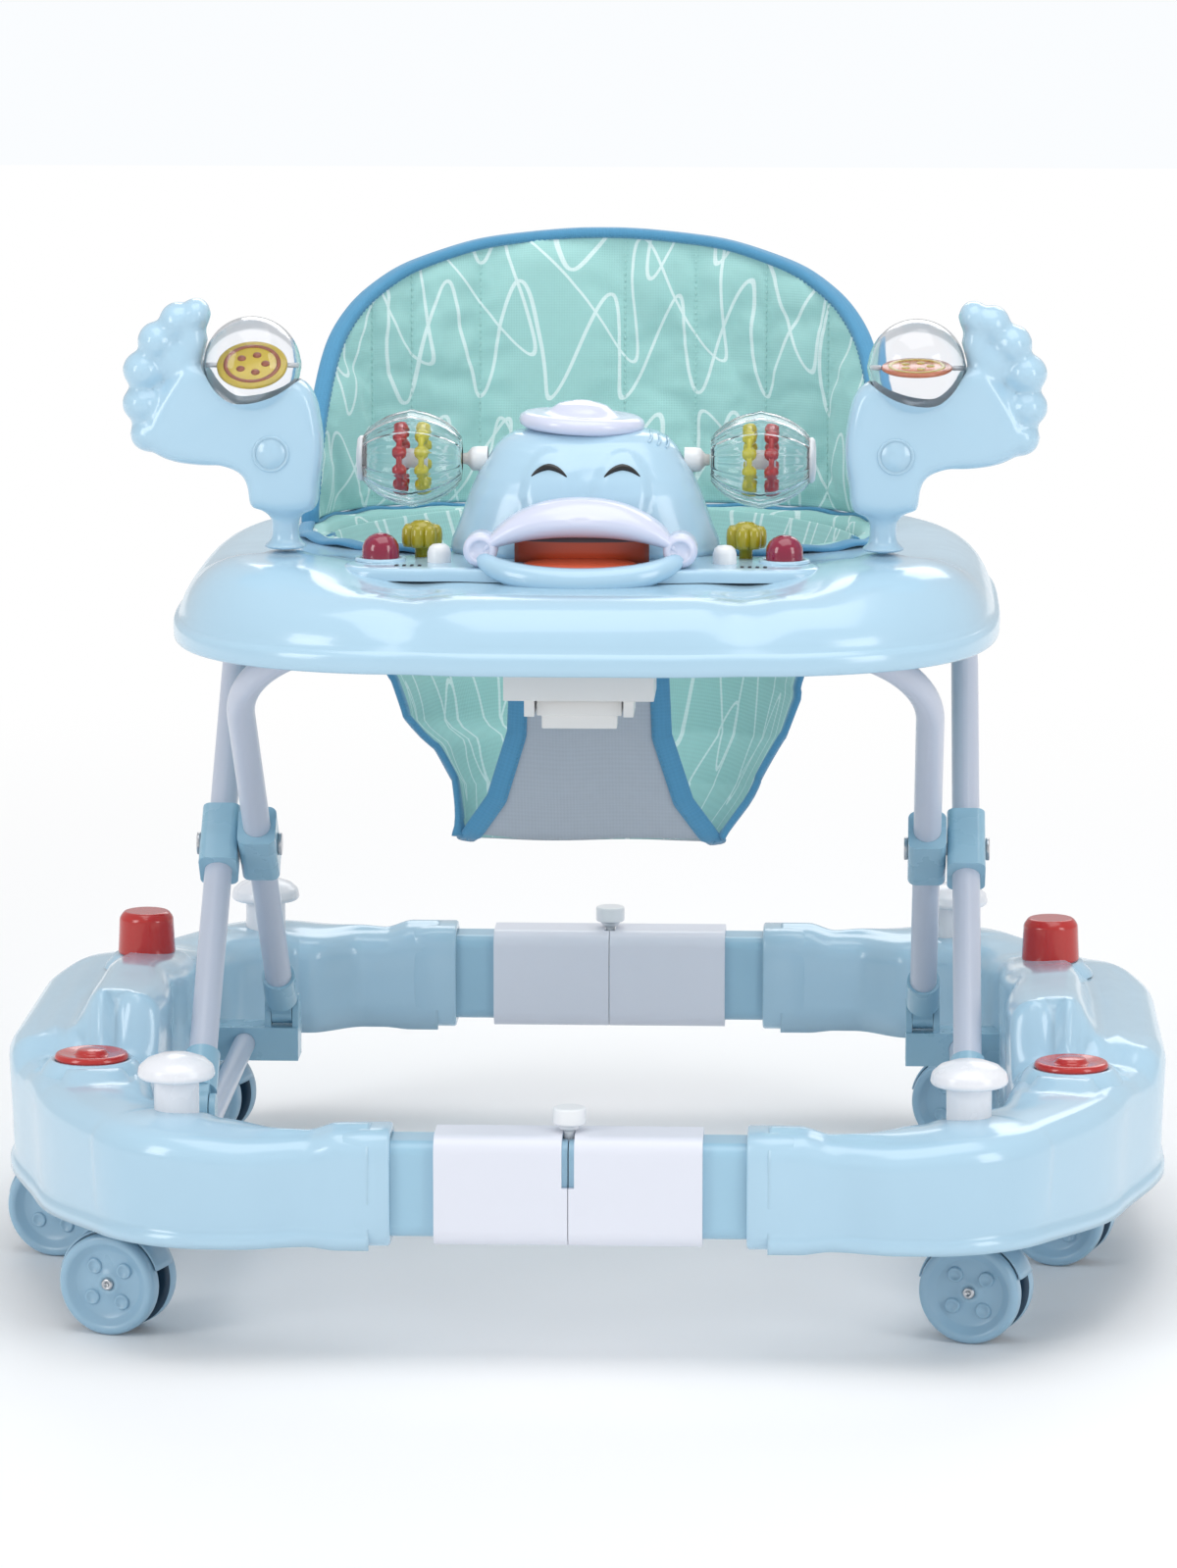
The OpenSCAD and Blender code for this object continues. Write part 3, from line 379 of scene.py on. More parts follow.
def collar_ring(y):
    """Rounded sleeve-like end of the shell, open towards the insert."""
    rings = []
    for x, grow in ((-101.5, -2.2), (-101.8, -0.8), (-103, 0), (-118, 0), (-128, -0.4), (-134, -3)):
        ring = []
        for i in range(40):
            a = 2 * math.pi * i / 40
            ring.append((x, y + (23 + grow) * math.copysign(abs(math.cos(a)) ** 0.45, math.cos(a)),
                         BAR_Z + (34 + grow) * math.copysign(abs(math.sin(a)) ** 0.45, math.sin(a))))
        rings.append(ring)
    back = [[(x, y + (yy - y) * 0.86, BAR_Z + (z - BAR_Z) * 0.9) for x, yy, z in ring]
        for ring in reversed(rings)]
    return skin_of(rings + back, around=True, along=True)


def base_half(side):
    steps = 340
    rings = [shell_section(12 + (RUN - 24) * i / steps) for i in range(steps + 1)]
    body = skin_of(rings)
    flip = (lambda part: part) if side == "left" else (lambda part: mirrored(*part))
    shell = new_piece(f"base_shell_{side}_skin", *flip(body), shell_blue)
    add_wall(shell, 2.6)
    rides(shell, "base", "light_blue_plastic", f"base_shell_{side}")
    boss = lathe([(31, 135), (28, 140.5), (26, 142.6), (24.6, 143.6), (23.2, 143.9), (22.6, 143),
        (0.01, 143)], (-290, -165, 0))
    pad = lathe([(27, 148), (25.5, 151), (22, 154), (20.5, 156.6), (0.01, 156.8)], (-285, 90, 0))
    bosses = new_piece(f"base_bosses_{side}",
        *flip(joined(boss, pad, collar_ring(-BAR_Y), collar_ring(BAR_Y))), shell_blue)
    rides(bosses, "base", "light_blue_plastic")


base_half("left")
base_half("right")

# ---- Crossbars ----
# Blue box-section inserts slide into the shells' collars and meet at the middle, where a pale
# two-piece sleeve covers the joint. A round pull pin on a steel shank locks each joint.
insert_blue = finish_of("insert_blue_plastic", (0.33, 0.54, 0.68), 0.32, coat=0.1)
sleeve_white = finish_of("sleeve_pale_plastic", (0.74, 0.76, 0.84), 0.36, coat=0.1)
knob_white = finish_of("knob_white_plastic", (0.82, 0.84, 0.86), 0.3, coat=0.2)


def eased(node, paint, body, slot, width=0.8, name=None):
    """A moulded part with softened edges, made from its CAD node."""
    mesh = nodes[node].data.copy()
    mesh.name = name or f"{node}_eased"
    shape = bmesh.new()
    shape.from_mesh(mesh)
    bmesh.ops.remove_doubles(shape, verts=shape.verts, dist=0.00001)
    bmesh.ops.dissolve_limit(shape, angle_limit=0.01, verts=shape.verts, edges=shape.edges)
    for face in shape.faces:
        face.smooth = True
    shape.to_mesh(mesh)
    shape.free()
    mesh.materials.clear()
    mesh.materials.append(paint)
    piece = bpy.data.objects.new(mesh.name, mesh)
    bpy.context.scene.collection.objects.link(piece)
    add_modifier(piece, "BEVEL", width=width * 0.001, segments=2, limit_method="ANGLE",
        angle_limit=math.radians(32), use_clamp_overlap=True)
    add_modifier(piece, "WEIGHTED_NORMAL", keep_sharp=True)
    rides(piece, body, slot, node)
    return piece


eased("crossbar_inserts", insert_blue, "base", "blue_plastic", 1.0)
eased("front_sleeve", sleeve_white, "base", "pale_plastic", 1.2)
eased("rear_sleeve", sleeve_white, "base", "pale_plastic", 1.2)
eased("front_lock_pin", knob_white, "front_lock_pin", "white_plastic", 1.5)
eased("rear_lock_pin", knob_white, "rear_lock_pin", "white_plastic", 1.5)

# ---- Red cups and discs ----
# Bright red polypropylene caps: a tall rounded cup on each side's hump and a flat disc with a
# raised middle near the front corner.
cap_red = finish_of("cap_red_plastic", (0.50, 0.022, 0.018), 0.2, coat=0.4)
eased("red_caps", cap_red, "base", "red_plastic", 1.6)

# ---- Rails, brackets, feet and cross blocks ----
# Powder-coated steel rails lie inside the base. The rear feet turn in fixed brackets, the front
# feet slide along the rails, and blue blocks join the two frames where they cross.
tube_paint = finish_of("tube_powder_coat", (0.56, 0.60, 0.70), 0.34, coat=0.15, grain=0.25, size=1500,
    gloss_drift=0.08)
block_blue = finish_of("block_blue_plastic", (0.31, 0.52, 0.65), 0.28, coat=0.2)
pin_steel = finish_of("pin_steel", (0.55, 0.56, 0.58), 0.3, metal=1.0, grain=0.2, size=1800)
eased("rail_tubes", tube_paint, "base", "coated_steel", 0.3)
eased("rail_brackets", block_blue, "base", "blue_plastic", 1.0)
eased("rail_sliders", block_blue, "sliders", "blue_plastic", 1.0)
eased("front_tube_feet", block_blue, "front_frame", "blue_plastic", 0.8)
eased("rear_tube_feet", block_blue, "rear_frame", "blue_plastic", 0.8)
eased("front_tube_blocks", block_blue, "front_frame", "blue_plastic", 1.6)
eased("rear_tube_blocks", block_blue, "rear_frame", "blue_plastic", 1.6)
eased("cross_pins", pin_steel, "rear_frame", "steel_pin", 0.6)

# ---- X frame tubes ----
# Two U-shaped 17 mm steel tubes with wide bends, powder coated pale grey. They cross at the
# blocks; the rear one hangs in saddles under the tray, the front one rests over the latch.
eased("front_tube", tube_paint, "front_frame", "coated_steel", 0.2)
eased("rear_tube", tube_paint, "rear_frame", "coated_steel", 0.2)

# ---- Brake posts ----
# White mushroom-headed posts that are pushed down by hand through the corner pads.
post_white = finish_of("post_white_plastic", (0.80, 0.81, 0.85), 0.26, coat=0.25)
for corner in ("front_left", "front_right", "rear_left", "rear_right"):
    eased(f"brake_post_{corner}", post_white, f"brake_post_{corner}", "white_plastic", 1.0)

# ---- Casters ----
# Six twin-wheel swivel casters. Each wheel is a pale blue moulded disc with a raised rim, four
# round dimples and a steel rivet; the inner faces, turned toward each other across the narrow gap,
# carry painted shade in dark blue, and a curved hood covers their tops.
wheel_blue = finish_of("wheel_blue_plastic", (0.30, 0.48, 0.62), 0.3, coat=0.15)
# Dark blue painted shade for the wheels' inner faces in the gap between the two wheels.
wheel_gap_shade_paint = finish_of("wheel_inner_plastic", (0.018, 0.055, 0.10), 0.4)
TRAIL, WHEEL_GAP = 17.0, 13.0


def ring_tree():
    """Geometry Nodes tree: copies of an object evenly round a circle about Z."""
    tree = bpy.data.node_groups.new("set_in_a_ring", "GeometryNodeTree")
    tree.interface.new_socket("Geometry", in_out="OUTPUT", socket_type="NodeSocketGeometry")
    for label, kind in (("Part", "NodeSocketObject"), ("Count", "NodeSocketInt"),
        ("Radius", "NodeSocketFloat"), ("Paint", "NodeSocketMaterial")):
        tree.interface.new_socket(label, in_out="INPUT", socket_type=kind)
    new, link = tree.nodes.new, tree.links.new
    given, made = new("NodeGroupInput"), new("NodeGroupOutput")
    circle = new("GeometryNodeMeshCircle")
    part = new("GeometryNodeObjectInfo")
    copies = new("GeometryNodeInstanceOnPoints")
    place = new("GeometryNodeInputPosition")
    split = new("ShaderNodeSeparateXYZ")
    heading = new("ShaderNodeMath")
    heading.operation = "ARCTAN2"
    turn = new("ShaderNodeCombineXYZ")
    real = new("GeometryNodeRealizeInstances")
    coloured = new("GeometryNodeSetMaterial")
    link(given.outputs["Count"], circle.inputs["Vertices"])
    link(given.outputs["Radius"], circle.inputs["Radius"])
    link(given.outputs["Part"], part.inputs["Object"])
    link(circle.outputs["Mesh"], copies.inputs["Points"])
    link(part.outputs["Geometry"], copies.inputs["Instance"])
    link(place.outputs["Position"], split.inputs["Vector"])
    link(split.outputs["Y"], heading.inputs[0])
    link(split.outputs["X"], heading.inputs[1])
    link(heading.outputs[0], turn.inputs["Z"])
    link(turn.outputs["Vector"], copies.inputs["Rotation"])
    link(copies.outputs["Instances"], real.inputs["Geometry"])
    link(real.outputs["Geometry"], coloured.inputs["Geometry"])
    link(given.outputs["Paint"], coloured.inputs["Material"])
    link(coloured.outputs["Geometry"], made.inputs["Geometry"])
    return tree


set_in_a_ring = ring_tree()


def in_a_ring(part, count, radius, paint):
    """Points and faces, in millimetres, of a small part repeated round a circle about Z."""
    sample = new_piece("ring_sample", *part, paint)
    host = new_piece("ring_host", [(0, 0, 0)], [], paint)
    step = host.modifiers.new("set_in_a_ring", "NODES")
    step.node_group = set_in_a_ring
    for item in set_in_a_ring.interface.items_tree:
        if item.in_out == "INPUT":
            step[item.identifier] = {"Part": sample, "Count": count, "Radius": radius * 0.001,
                "Paint": paint}[item.name]
    bpy.context.view_layer.update()
    made = bpy.data.meshes.new_from_object(host.evaluated_get(bpy.context.evaluated_depsgraph_get()))
    points = [v.co * 1000 for v in made.vertices]
    faces = [tuple(p.vertices) for p in made.polygons]
    for used in (sample, host):
        bpy.data.objects.remove(used)
    return points, faces


def placed(part, turn, place):
    points, faces = part
    return [turn @ Vector(p) + Vector(place) for p in points], faces


def two_paints(piece, paint, test):
    """Gives a second paint to the faces whose middle passes the test, in millimetres."""
    piece.data.materials.append(paint)
    for face in piece.data.polygons:
        if test(face.center * 1000):
            face.material_index = 1


WHEEL_FACE = [(0.01, 7.2), (3.2, 7.2), (3.4, 8.2), (6.4, 8.2), (7.2, 7.6), (19.5, 7.4), (20.6, 8.2),
    (22.4, 9.4), (24, 11.0), (25, 11.8),
              (27.2, 12), (28.8, 11.4), (29.8, 9.8), (30, 8), (30, 3), (29.6, 1.4), (28.4, 0.4), (26, 0),
    (8, 0), (0.01, 0)]
dimple = lathe([(0.01, 8.0), (2.6, 8.1), (3.3, 8.9), (4.1, 9.0), (4.6, 8.2), (4.8, 7.2)], (0, 0, 0),
    steps=20)
dimples = in_a_ring(dimple, 4, 13.2, wheel_blue)
wheel = joined(lathe(WHEEL_FACE, (0, 0, 0), steps=72), dimples)
rivet = joined(lathe([(0.01, 9.0), (1.4, 9.0), (1.5, 10.1), (3.1, 10.1), (3.6, 9.2), (3.6, 7)], (0, 0, 0),
    steps=24))
facing_out = Matrix.Rotation(math.radians(90), 3, "Y")
facing_back = Matrix.Rotation(math.radians(-90), 3, "Y") @ Matrix.Rotation(math.radians(40), 3, "Z")


def hood():
    """Curved cover over both wheels, with a stem pad on top."""
    rings = []
    for i in range(25):
        a = math.radians(18 + 150 * i / 24)
        ring = []
        for w, r in ((-12.5, 31.6), (-11, 32.6), (-6, 33.1), (0, 33.2), (6, 33.1), (11, 32.6), (12.5, 31.6),
            (11, 30.9), (0, 31.2), (-11, 30.9)):
            ring.append((w, TRAIL - r * math.cos(a) * 0.99, 30 + r * math.sin(a) * 0.985))
        rings.append(ring)
    web = []
    for y, z in ((TRAIL - 24, 40), (TRAIL - 14, 57), (TRAIL, 60), (TRAIL + 14, 55), (TRAIL + 13, 30),
        (TRAIL, 17), (TRAIL - 13, 26)):
        web.append((y, z))
    plate = skin_of([[(x, y, z) for y, z in web] for x in (-5.4, 5.4)], around=True, capped=True)
    stem = lathe([(0.01, 58), (11, 58), (11, 62.6), (9, 64), (5, 64.5), (4, 66), (4, 90), (0.01, 90)],
        (0, 0, 0), steps=32)
    return joined(skin_of(rings, around=True, capped=True), plate, stem)


caster_places = {"front_left": (-250, -252), "front_right": (250, -252), "mid_left": (-305, -64),
    "mid_right": (305, -64),
                 "rear_left": (-250, 252), "rear_right": (250, 252)}
heading = Matrix.Rotation(math.radians(72), 3, "Z")
for corner, (cx, cy) in caster_places.items():
    fork = new_piece(f"caster_hood_{corner}", *placed(hood(), heading, (cx, cy, 0)), wheel_blue)
    rides(fork, f"caster_{corner}", "blue_plastic", f"caster_fork_{corner}")
    axle = heading @ Vector((0, TRAIL, 0)) + Vector((cx, cy, 30))
    turned = [(heading @ side, axle + heading @ Vector((shift, 0, 0))) for side, shift in
              ((facing_out, WHEEL_GAP / 2), (facing_back, -WHEEL_GAP / 2))]
    both = joined(*(placed(wheel, turn, place) for turn, place in turned))
    pair = new_piece(f"twin_wheels_{corner}", *both, wheel_blue)
    across = heading @ Vector((1, 0, 0))
    # Faces near the middle plane between the twin wheels get the dark blue painted shade of the gap.
    two_paints(pair, wheel_gap_shade_paint, lambda c: abs((c - axle).dot(across)) < WHEEL_GAP / 2 + 1.2)
    rides(pair, f"wheels_{corner}", "wheel_plastic", f"caster_wheels_{corner}")
    rivets = new_piece(f"wheel_rivets_{corner}",
        *joined(*(placed(rivet, turn, place) for turn, place in turned)), pin_steel)
    rides(rivets, f"wheels_{corner}", "steel_pin")

# ---- Tray ----
# A one-piece glossy moulded tray: a stepped rolled rim, a convex front, two corner domes that
# carry the hand toys and an oval opening for the seat, with a turned-down lip.
TRAY_X, TRAY_B, TRAY_Y, RIM_Z, DECK_Z = 248.0, 254.0, -6.0, 388.3, 430.3
HOLE_X, HOLE_B, HOLE_Y = 164.0, 102.0, 62.0
TOY_X, TOY_Y = 177.0, -110.0


def oval(angle, rx, ry, cy, power):
    c, s = math.cos(angle), math.sin(angle)
    return rx * math.copysign(abs(c) ** power, c), cy + ry * math.copysign(abs(s) ** power, s)


def deck_height(x, y):
    """Height of the deck over its flat level: a broad dome at each front corner, higher at the toy."""
    d = math.hypot(abs(x) - TOY_X, y - TOY_Y)
    dome = 10.5 * ease(40 - d, 0, 36)
    wide = math.hypot((abs(x) - 182) / 84, (y + 142) / 98)
    swell = 9.5 * ease(1 - wide, 0, 0.8)
    valley = math.exp(-((abs(x) - 96) / 15) ** 2) * ease(-y, 120, 210)
    return max(dome, swell) - 2.2 * valley


def tray_rows():
    outside = [(4.2, RIM_Z), (1.2, RIM_Z), (0.2, RIM_Z + 1), (0, RIM_Z + 4), (0, RIM_Z + 9),
        (0.8, RIM_Z + 11.4), (2.6, RIM_Z + 12.4),
               (3.4, RIM_Z + 13.2), (4.4, RIM_Z + 17), (6.4, RIM_Z + 22), (9.6, RIM_Z + 27.5),
        (13.5, RIM_Z + 32), (18.6, RIM_Z + 36),
               (24.5, RIM_Z + 39), (31, RIM_Z + 41), (38, DECK_Z), (46, DECK_Z), (52, DECK_Z)]
    angles = [2 * math.pi * i / 216 for i in range(216)]
    rows = []
    for inset, z in outside:
        ring = []
        for a in angles:
            x, y = oval(a, TRAY_X - inset, TRAY_B - inset, TRAY_Y, 0.59)
            rise = deck_height(x, y) * ease(z, RIM_Z + 12, RIM_Z + 40)
            valley = math.exp(-((abs(x) - 96) / 19) ** 2) * ease(-y, 60, 200)
            ring.append((x, y + valley * (3.0 + 3.5 * ease(z, RIM_Z + 12, RIM_Z + 30)),
                z + rise - 1.5 * valley * ease(z, RIM_Z + 13, RIM_Z + 25)))
        rows.append(ring)
    start = [oval(a, TRAY_X - 52, TRAY_B - 52, TRAY_Y, 0.59) for a in angles]
    end = [oval(a, HOLE_X + 8, HOLE_B + 8, HOLE_Y, 0.78) for a in angles]
    for i in range(1, 22):
        t = i / 22
        ring = []
        for (x0, y0), (x1, y1) in zip(start, end):
            x, y = x0 + (x1 - x0) * t, y0 + (y1 - y0) * t
            ring.append((x, y, DECK_Z + deck_height(x, y)))
        rows.append(ring)
    for out, z in ((8, DECK_Z), (4, DECK_Z - 0.2), (1.6, DECK_Z - 1.2), (0.4, DECK_Z - 3), (0, DECK_Z - 6),
        (0, DECK_Z - 14), (2.6, DECK_Z - 14)):
        rows.append([(*oval(a, HOLE_X + out, HOLE_B + out, HOLE_Y, 0.78), z) for a in angles])
    return rows


tray_top = new_piece("tray_skin", *skin_of(tray_rows(), around=True), shell_blue)
add_wall(tray_top, 2.4)
rides(tray_top, "tray", "light_blue_plastic", "tray_shell")
eased("tube_clamps", block_blue, "tray", "blue_plastic", 1.2)

# ---- Latch ----
# A stepped white housing hangs from the deck under the front crossbar; its spring key is
# pressed upwards to free the tube.
latch_white = finish_of("latch_white_plastic", (0.80, 0.80, 0.79), 0.42)
eased("latch_housing", latch_white, "tray", "white_plastic", 0.8)
eased("latch_lever", latch_white, "latch_lever", "white_plastic", 0.8)

# ---- Play panel ----
# A low winged console screwed to the deck. It carries two domed push buttons, two lobed turning
# knobs, two small white domes and a patch of speaker holes on the right wing, drawn as dark dots of
# painted shade.
PANEL_Z = 437.8
cheek_lavender = finish_of("bill_lavender_plastic", (0.66, 0.69, 0.84), 0.24, coat=0.3)
button_magenta = finish_of("button_magenta_plastic", (0.26, 0.008, 0.04), 0.14, coat=0.6)
knob_olive = finish_of("knob_olive_plastic", (0.36, 0.31, 0.012), 0.2, coat=0.4)
hole_shadow_paint = finish_of("speaker_hole_shadow", (0.02, 0.03, 0.04), 0.6)
WING = [(0, -174), (24, -174), (46, -173), (62, -170), (74, -168), (92, -170), (118, -168), (133, -163),
    (140, -153), (141.5, -141),
        (138, -128), (130, -118), (120, -112), (107, -107), (92, -101), (82, -92), (80, -76), (77, -62),
    (66, -48), (44, -40), (20, -38), (0, -38)]


def rounded_path(path, rounds=2):
    for _ in range(rounds):
        path = [p for a, b in zip(path, path[1:]) for p in
                ((a[0] * 0.75 + b[0] * 0.25, a[1] * 0.75 + b[1] * 0.25),
            (a[0] * 0.25 + b[0] * 0.75, a[1] * 0.25 + b[1] * 0.75))]
    return path


def panel_rows():
    half = rounded_path(WING)
    plan = half + [(-x, y) for x, y in reversed(half)]
    middle = (0, -118)
    rows = []
    for shrink, z in ((1.0, DECK_Z + 0.4), (1.0, DECK_Z + 4), (0.994, PANEL_Z - 2.2),
        (0.984, PANEL_Z - 0.6), (0.965, PANEL_Z), (0.8, PANEL_Z + 0.2),
                      (0.4, PANEL_Z + 0.3), (0.01, PANEL_Z + 0.3)):
        rows.append([(middle[0] + (x - middle[0]) * shrink, middle[1] + (y - middle[1]) * shrink, z) for x,
            y in plan])
    return rows


panel = new_piece("play_panel_skin", *skin_of(panel_rows(), around=True), shell_blue)
rides(panel, "tray", "light_blue_plastic", "panel_body")
chin = []
for i in range(41):
    a = math.radians(180 + 180 * i / 40)
    fall = math.sin(math.pi * i / 40)
    ring = []
    for j in range(14):
        b = 2 * math.pi * j / 14
        thick = 4 + 5.5 * fall
        reach = 57 + thick * math.cos(b)
        ring.append((reach * math.cos(a) * 1.02, -152 + (reach - 20) * math.sin(a) * 0.92,
            PANEL_Z + 8.5 - 13.5 * fall + 0.9 * thick * math.sin(b)))
    chin.append(ring)
lower_lip = new_piece("panel_lower_lip", *skin_of(chin, around=True, capped=True), shell_blue)
rides(lower_lip, "tray", "light_blue_plastic")

dot = lathe([(0.01, 0.62), (1.0, 0.62), (1.25, 0.3), (1.25, 0)], (0, 0, 0), steps=12)
for side, sx in (("left", -1), ("right", 1)):
    dome = lathe([(11, -3), (11, 6.5), (10.6, 9.2), (9.2, 12), (6.8, 14.4), (3.6, 15.9), (0.01, 16.4)],
        (sx * 119, -130, PANEL_Z), steps=40)
    button = new_piece(f"dome_button_{side}", *dome, button_magenta)
    rides(button, f"red_button_{side}", "magenta_plastic", f"red_button_{side}")
    collar = lathe([(15.2, 0.2), (14.8, 1.8), (12.6, 2.1), (11.8, 1.2), (11.8, 0)],
        (sx * 119, -130, PANEL_Z), steps=40)
    lobe = lathe([(0.01, 19.5), (2.6, 19), (4.0, 16.8), (4.4, 13), (4.2, 9), (3.4, 6.6), (0.01, 6)],
        (0, 0, 0), steps=18)
    core = lathe([(0.01, 22), (4, 21.6), (7, 19.8), (8.6, 16.5), (8.6, 9), (7, 6), (4, 5), (4, -3)],
        (0, 0, 0), steps=36)
    knob = placed(joined(core, in_a_ring(lobe, 7, 8.0, knob_olive)), Matrix.Identity(3),
        (sx * 96, -113, PANEL_Z))
    flower = new_piece(f"lobed_knob_{side}", *knob, knob_olive)
    rides(flower, f"flower_knob_{side}", "olive_plastic", f"flower_knob_{side}")
    # Small plain white plastic domes beside the head's base, where a white patch shows; nothing here emits
    # light.
    lamp = lathe([(7, 0), (7, 6), (6, 9), (4, 10.6), (0.01, 11.2)], (sx * 84, -137, PANEL_Z), steps=28)
    white_domes = new_piece(f"lamp_button_{side}", *lamp, knob_white)
    rides(white_domes, "tray", "white_plastic")
    # Speaker holes: small dark dots of painted shade standing in for the shaded insides of the holes.
    dots = [placed(dot, Matrix.Identity(3), (sx * (108 - 4.5 * (i % 4)), -152 - 4 * (i // 4),
        PANEL_Z - 0.1)) for i in range(8)]
    patch = new_piece(f"speaker_dots_{side}", *joined(*dots), hole_shadow_paint)
    rides(patch, "tray", "light_blue_plastic")
    trim = new_piece(f"button_collar_{side}", *collar, shell_blue)
    rides(trim, "tray", "light_blue_plastic")

# ---- Duck head ----
# The music box: a glossy blow-moulded duck's head with two raised oval eye patches, painted
# closed eyes, and a flat lavender hat clipped on top. The bill is a hinged two-cheek crescent.
HEAD_Y = -84.0
HEAD_ROWS = [(79, 44, 0, 0), (80.5, 46, 0, 3), (79.5, 46, 0, 8), (76, 45, 0, 16), (72.5, 44, 0, 26),
    (69, 42.5, 0.5, 36), (64.5, 40, 2, 46), (58.5, 37, 4, 55),
             (54.5, 34, 6.5, 62), (49.5, 31, 9, 67), (43, 27, 11.5, 70.4), (31, 20, 14, 72.6),
    (15, 10, 16, 73.4), (0.01, 0.01, 16, 73.6)]


def head_point(angle, level):
    """Point on the head's skin at an angle and a height fraction of the rows."""
    i = min(int(level), len(HEAD_ROWS) - 2)
    t = level - i
    rx, ry, dy, z = [a + (b - a) * t for a, b in zip(HEAD_ROWS[i], HEAD_ROWS[i + 1])]
    x, y = oval(angle, rx, ry, HEAD_Y + dy, 0.88)
    return Vector((x, y, PANEL_Z + z))


def head_front(x, z):
    """The y of the head's front skin at x and z, with the raised eye patches."""
    for (rx0, ry0, d0, z0), (rx1, ry1, d1, z1) in zip(HEAD_ROWS, HEAD_ROWS[1:]):
        if z - PANEL_Z <= z1 or z1 == HEAD_ROWS[-1][3]:
            t = min(1, max(0, (z - PANEL_Z - z0) / (z1 - z0)))
            rx, ry, dy = rx0 + (rx1 - rx0) * t, ry0 + (ry1 - ry0) * t, d0 + (d1 - d0) * t
            c = min(0.999, abs(x) / rx) ** (1 / 0.88)
            return HEAD_Y + dy - ry * math.sqrt(1 - c * c) ** 0.88
    return HEAD_Y


head_rings = []
for level in [i * 0.25 for i in range(4 * (len(HEAD_ROWS) - 1) + 1)]:
    ring = []
    for i in range(120):
        p = head_point(2 * math.pi * i / 120, level)
        if p.y < HEAD_Y:
            d = math.hypot((abs(p.x - 1.5) - 21.5) / 15.5, (p.z - 478) / 24)
            p.y -= 3.0 * ease(1.04 - d, 0, 0.16)
        ring.append(p)
    head_rings.append(ring)
head = new_piece("duck_head_skin", *skin_of(head_rings, around=True), shell_blue)
rides(head, "tray", "light_blue_plastic", "duck_head", "electronics")
axle_parts = [lathe([(7.5, -6), (7.5, 0), (7, 3.5), (4.6, 5.5), (3.6, 6.4), (3.2, 9), (0.01, 9)],
    (sx * 64.6, -75, 491.8),
                    Matrix.Rotation(math.radians(90 * sx), 3, "Y"), 28) for sx in (-1, 1)]
rattle_axles = new_piece("rattle_axle_stubs", *joined(*axle_parts), knob_white)
rides(rattle_axles, "tray", "light_blue_plastic")


def tube_along(path, radius, steps=10, flat=1.0):
    """A round tube along points, tapering where radius is a list."""
    rings = []
    for i, p in enumerate(path):
        ahead = Vector(path[min(i + 1, len(path) - 1)]) - Vector(path[max(i - 1, 0)])
        ahead.normalize()
        side = ahead.cross(Vector((0, 1, 0.02))).normalized()
        upward = side.cross(ahead).normalized()
        r = radius[i] if isinstance(radius, (list, tuple)) else radius
        rings.append([Vector(p) + r * (math.cos(2 * math.pi * j / steps) * side
            + flat * math.sin(2 * math.pi * j / steps) * upward)
                      for j in range(steps)])
    return skin_of(rings, around=True, capped=True)


eye_black = finish_of("eye_black_paint", (0.006, 0.006, 0.007), 0.3, coat=0.3)
eye_parts = []
for cx in (-20, 23):
    lash = []
    for i in range(25):
        t = i / 24 * 2 - 1
        x, z = cx + 10.5 * t, 492.2 - 4.6 * t * t - 0.8 * abs(t)
        lash.append((x, head_front(x, z) - 2.9, z))
    eye_parts.append(tube_along(lash, [0.3 + 1.75 * max(0.0, math.cos(math.pi / 2 * (i / 12 - 1))) ** 0.8
        for i in range(25)]))
eyes = new_piece("closed_eyes", *joined(*eye_parts), eye_black)
rides(eyes, "tray", "light_blue_plastic")
tufts = []
for x in (38, 43, 48):
    z0 = 504.5 - (x - 38) * 0.35
    strand = [(x + 1.6 * math.sin(3 * t), head_front(x, z0 + 5 * t) - 0.3, z0 + 5 * t)
        for t in (0, 0.25, 0.5, 0.75, 1)]
    tufts.append(tube_along(strand, 0.8, 8))
tuft = new_piece("moulded_tufts", *joined(*tufts), shell_blue)
rides(tuft, "tray", "light_blue_plastic")

hat_profile = [(0.01, -2), (28, -2.5), (34, -1.6), (36.8, 0.4), (37.6, 3), (36.8, 5.6), (34, 7.4),
    (29, 7.6), (25, 7.4), (21.5, 8.2), (18, 10.6), (14.5, 13.2),
               (10, 14.6), (6.4, 15), (5.2, 15.6), (0.01, 16)]
hat = new_piece("duck_hat_skin", *lathe(hat_profile, (-3, HEAD_Y + 16, 510.6),
    Matrix.Rotation(math.radians(3), 3, "Y"), 72), cheek_lavender)
rides(hat, "tray", "pale_plastic", "duck_hat")

BILL_Y, BILL_Z = -147.0, 448.3


def bill_skin():
    """Upper bill: a broad arched crescent, thick in the middle, that ends in the cheeks."""
    rings = []
    for i in range(65):
        t = i / 32 - 1
        x = 57 * t
        top = 449 + 29.5 * max(0.0, 1 - abs(t) ** 2.2) ** 0.72
        low = 446 + 9.5 * (1 - abs(t) ** 2.4)
        thick = max(top - low, 7)
        front = BILL_Y - 17 - 9 * (1 - t * t)
        back = min(head_front(x, 462) - 1.6, BILL_Y + 12) if abs(x) < 50 else BILL_Y + 3
        mid_z = (top + low) / 2
        ring = []
        for j in range(24):
            b = 2 * math.pi * j / 24
            c, s = math.cos(b), math.sin(b)
            y = (front + back) / 2 - (back - front) / 2 * math.copysign(abs(c) ** 0.8, c)
            lift = -3.5 * ease(c, 0.2, 1) if s > 0 else 1.2 * ease(c, 0.3, 1)
            ring.append((x, y, mid_z + thick / 2 * math.copysign(abs(s) ** 0.75, s) + lift * (1 - abs(t))))
        rings.append(ring)
    return skin_of(rings, around=True, capped=True)


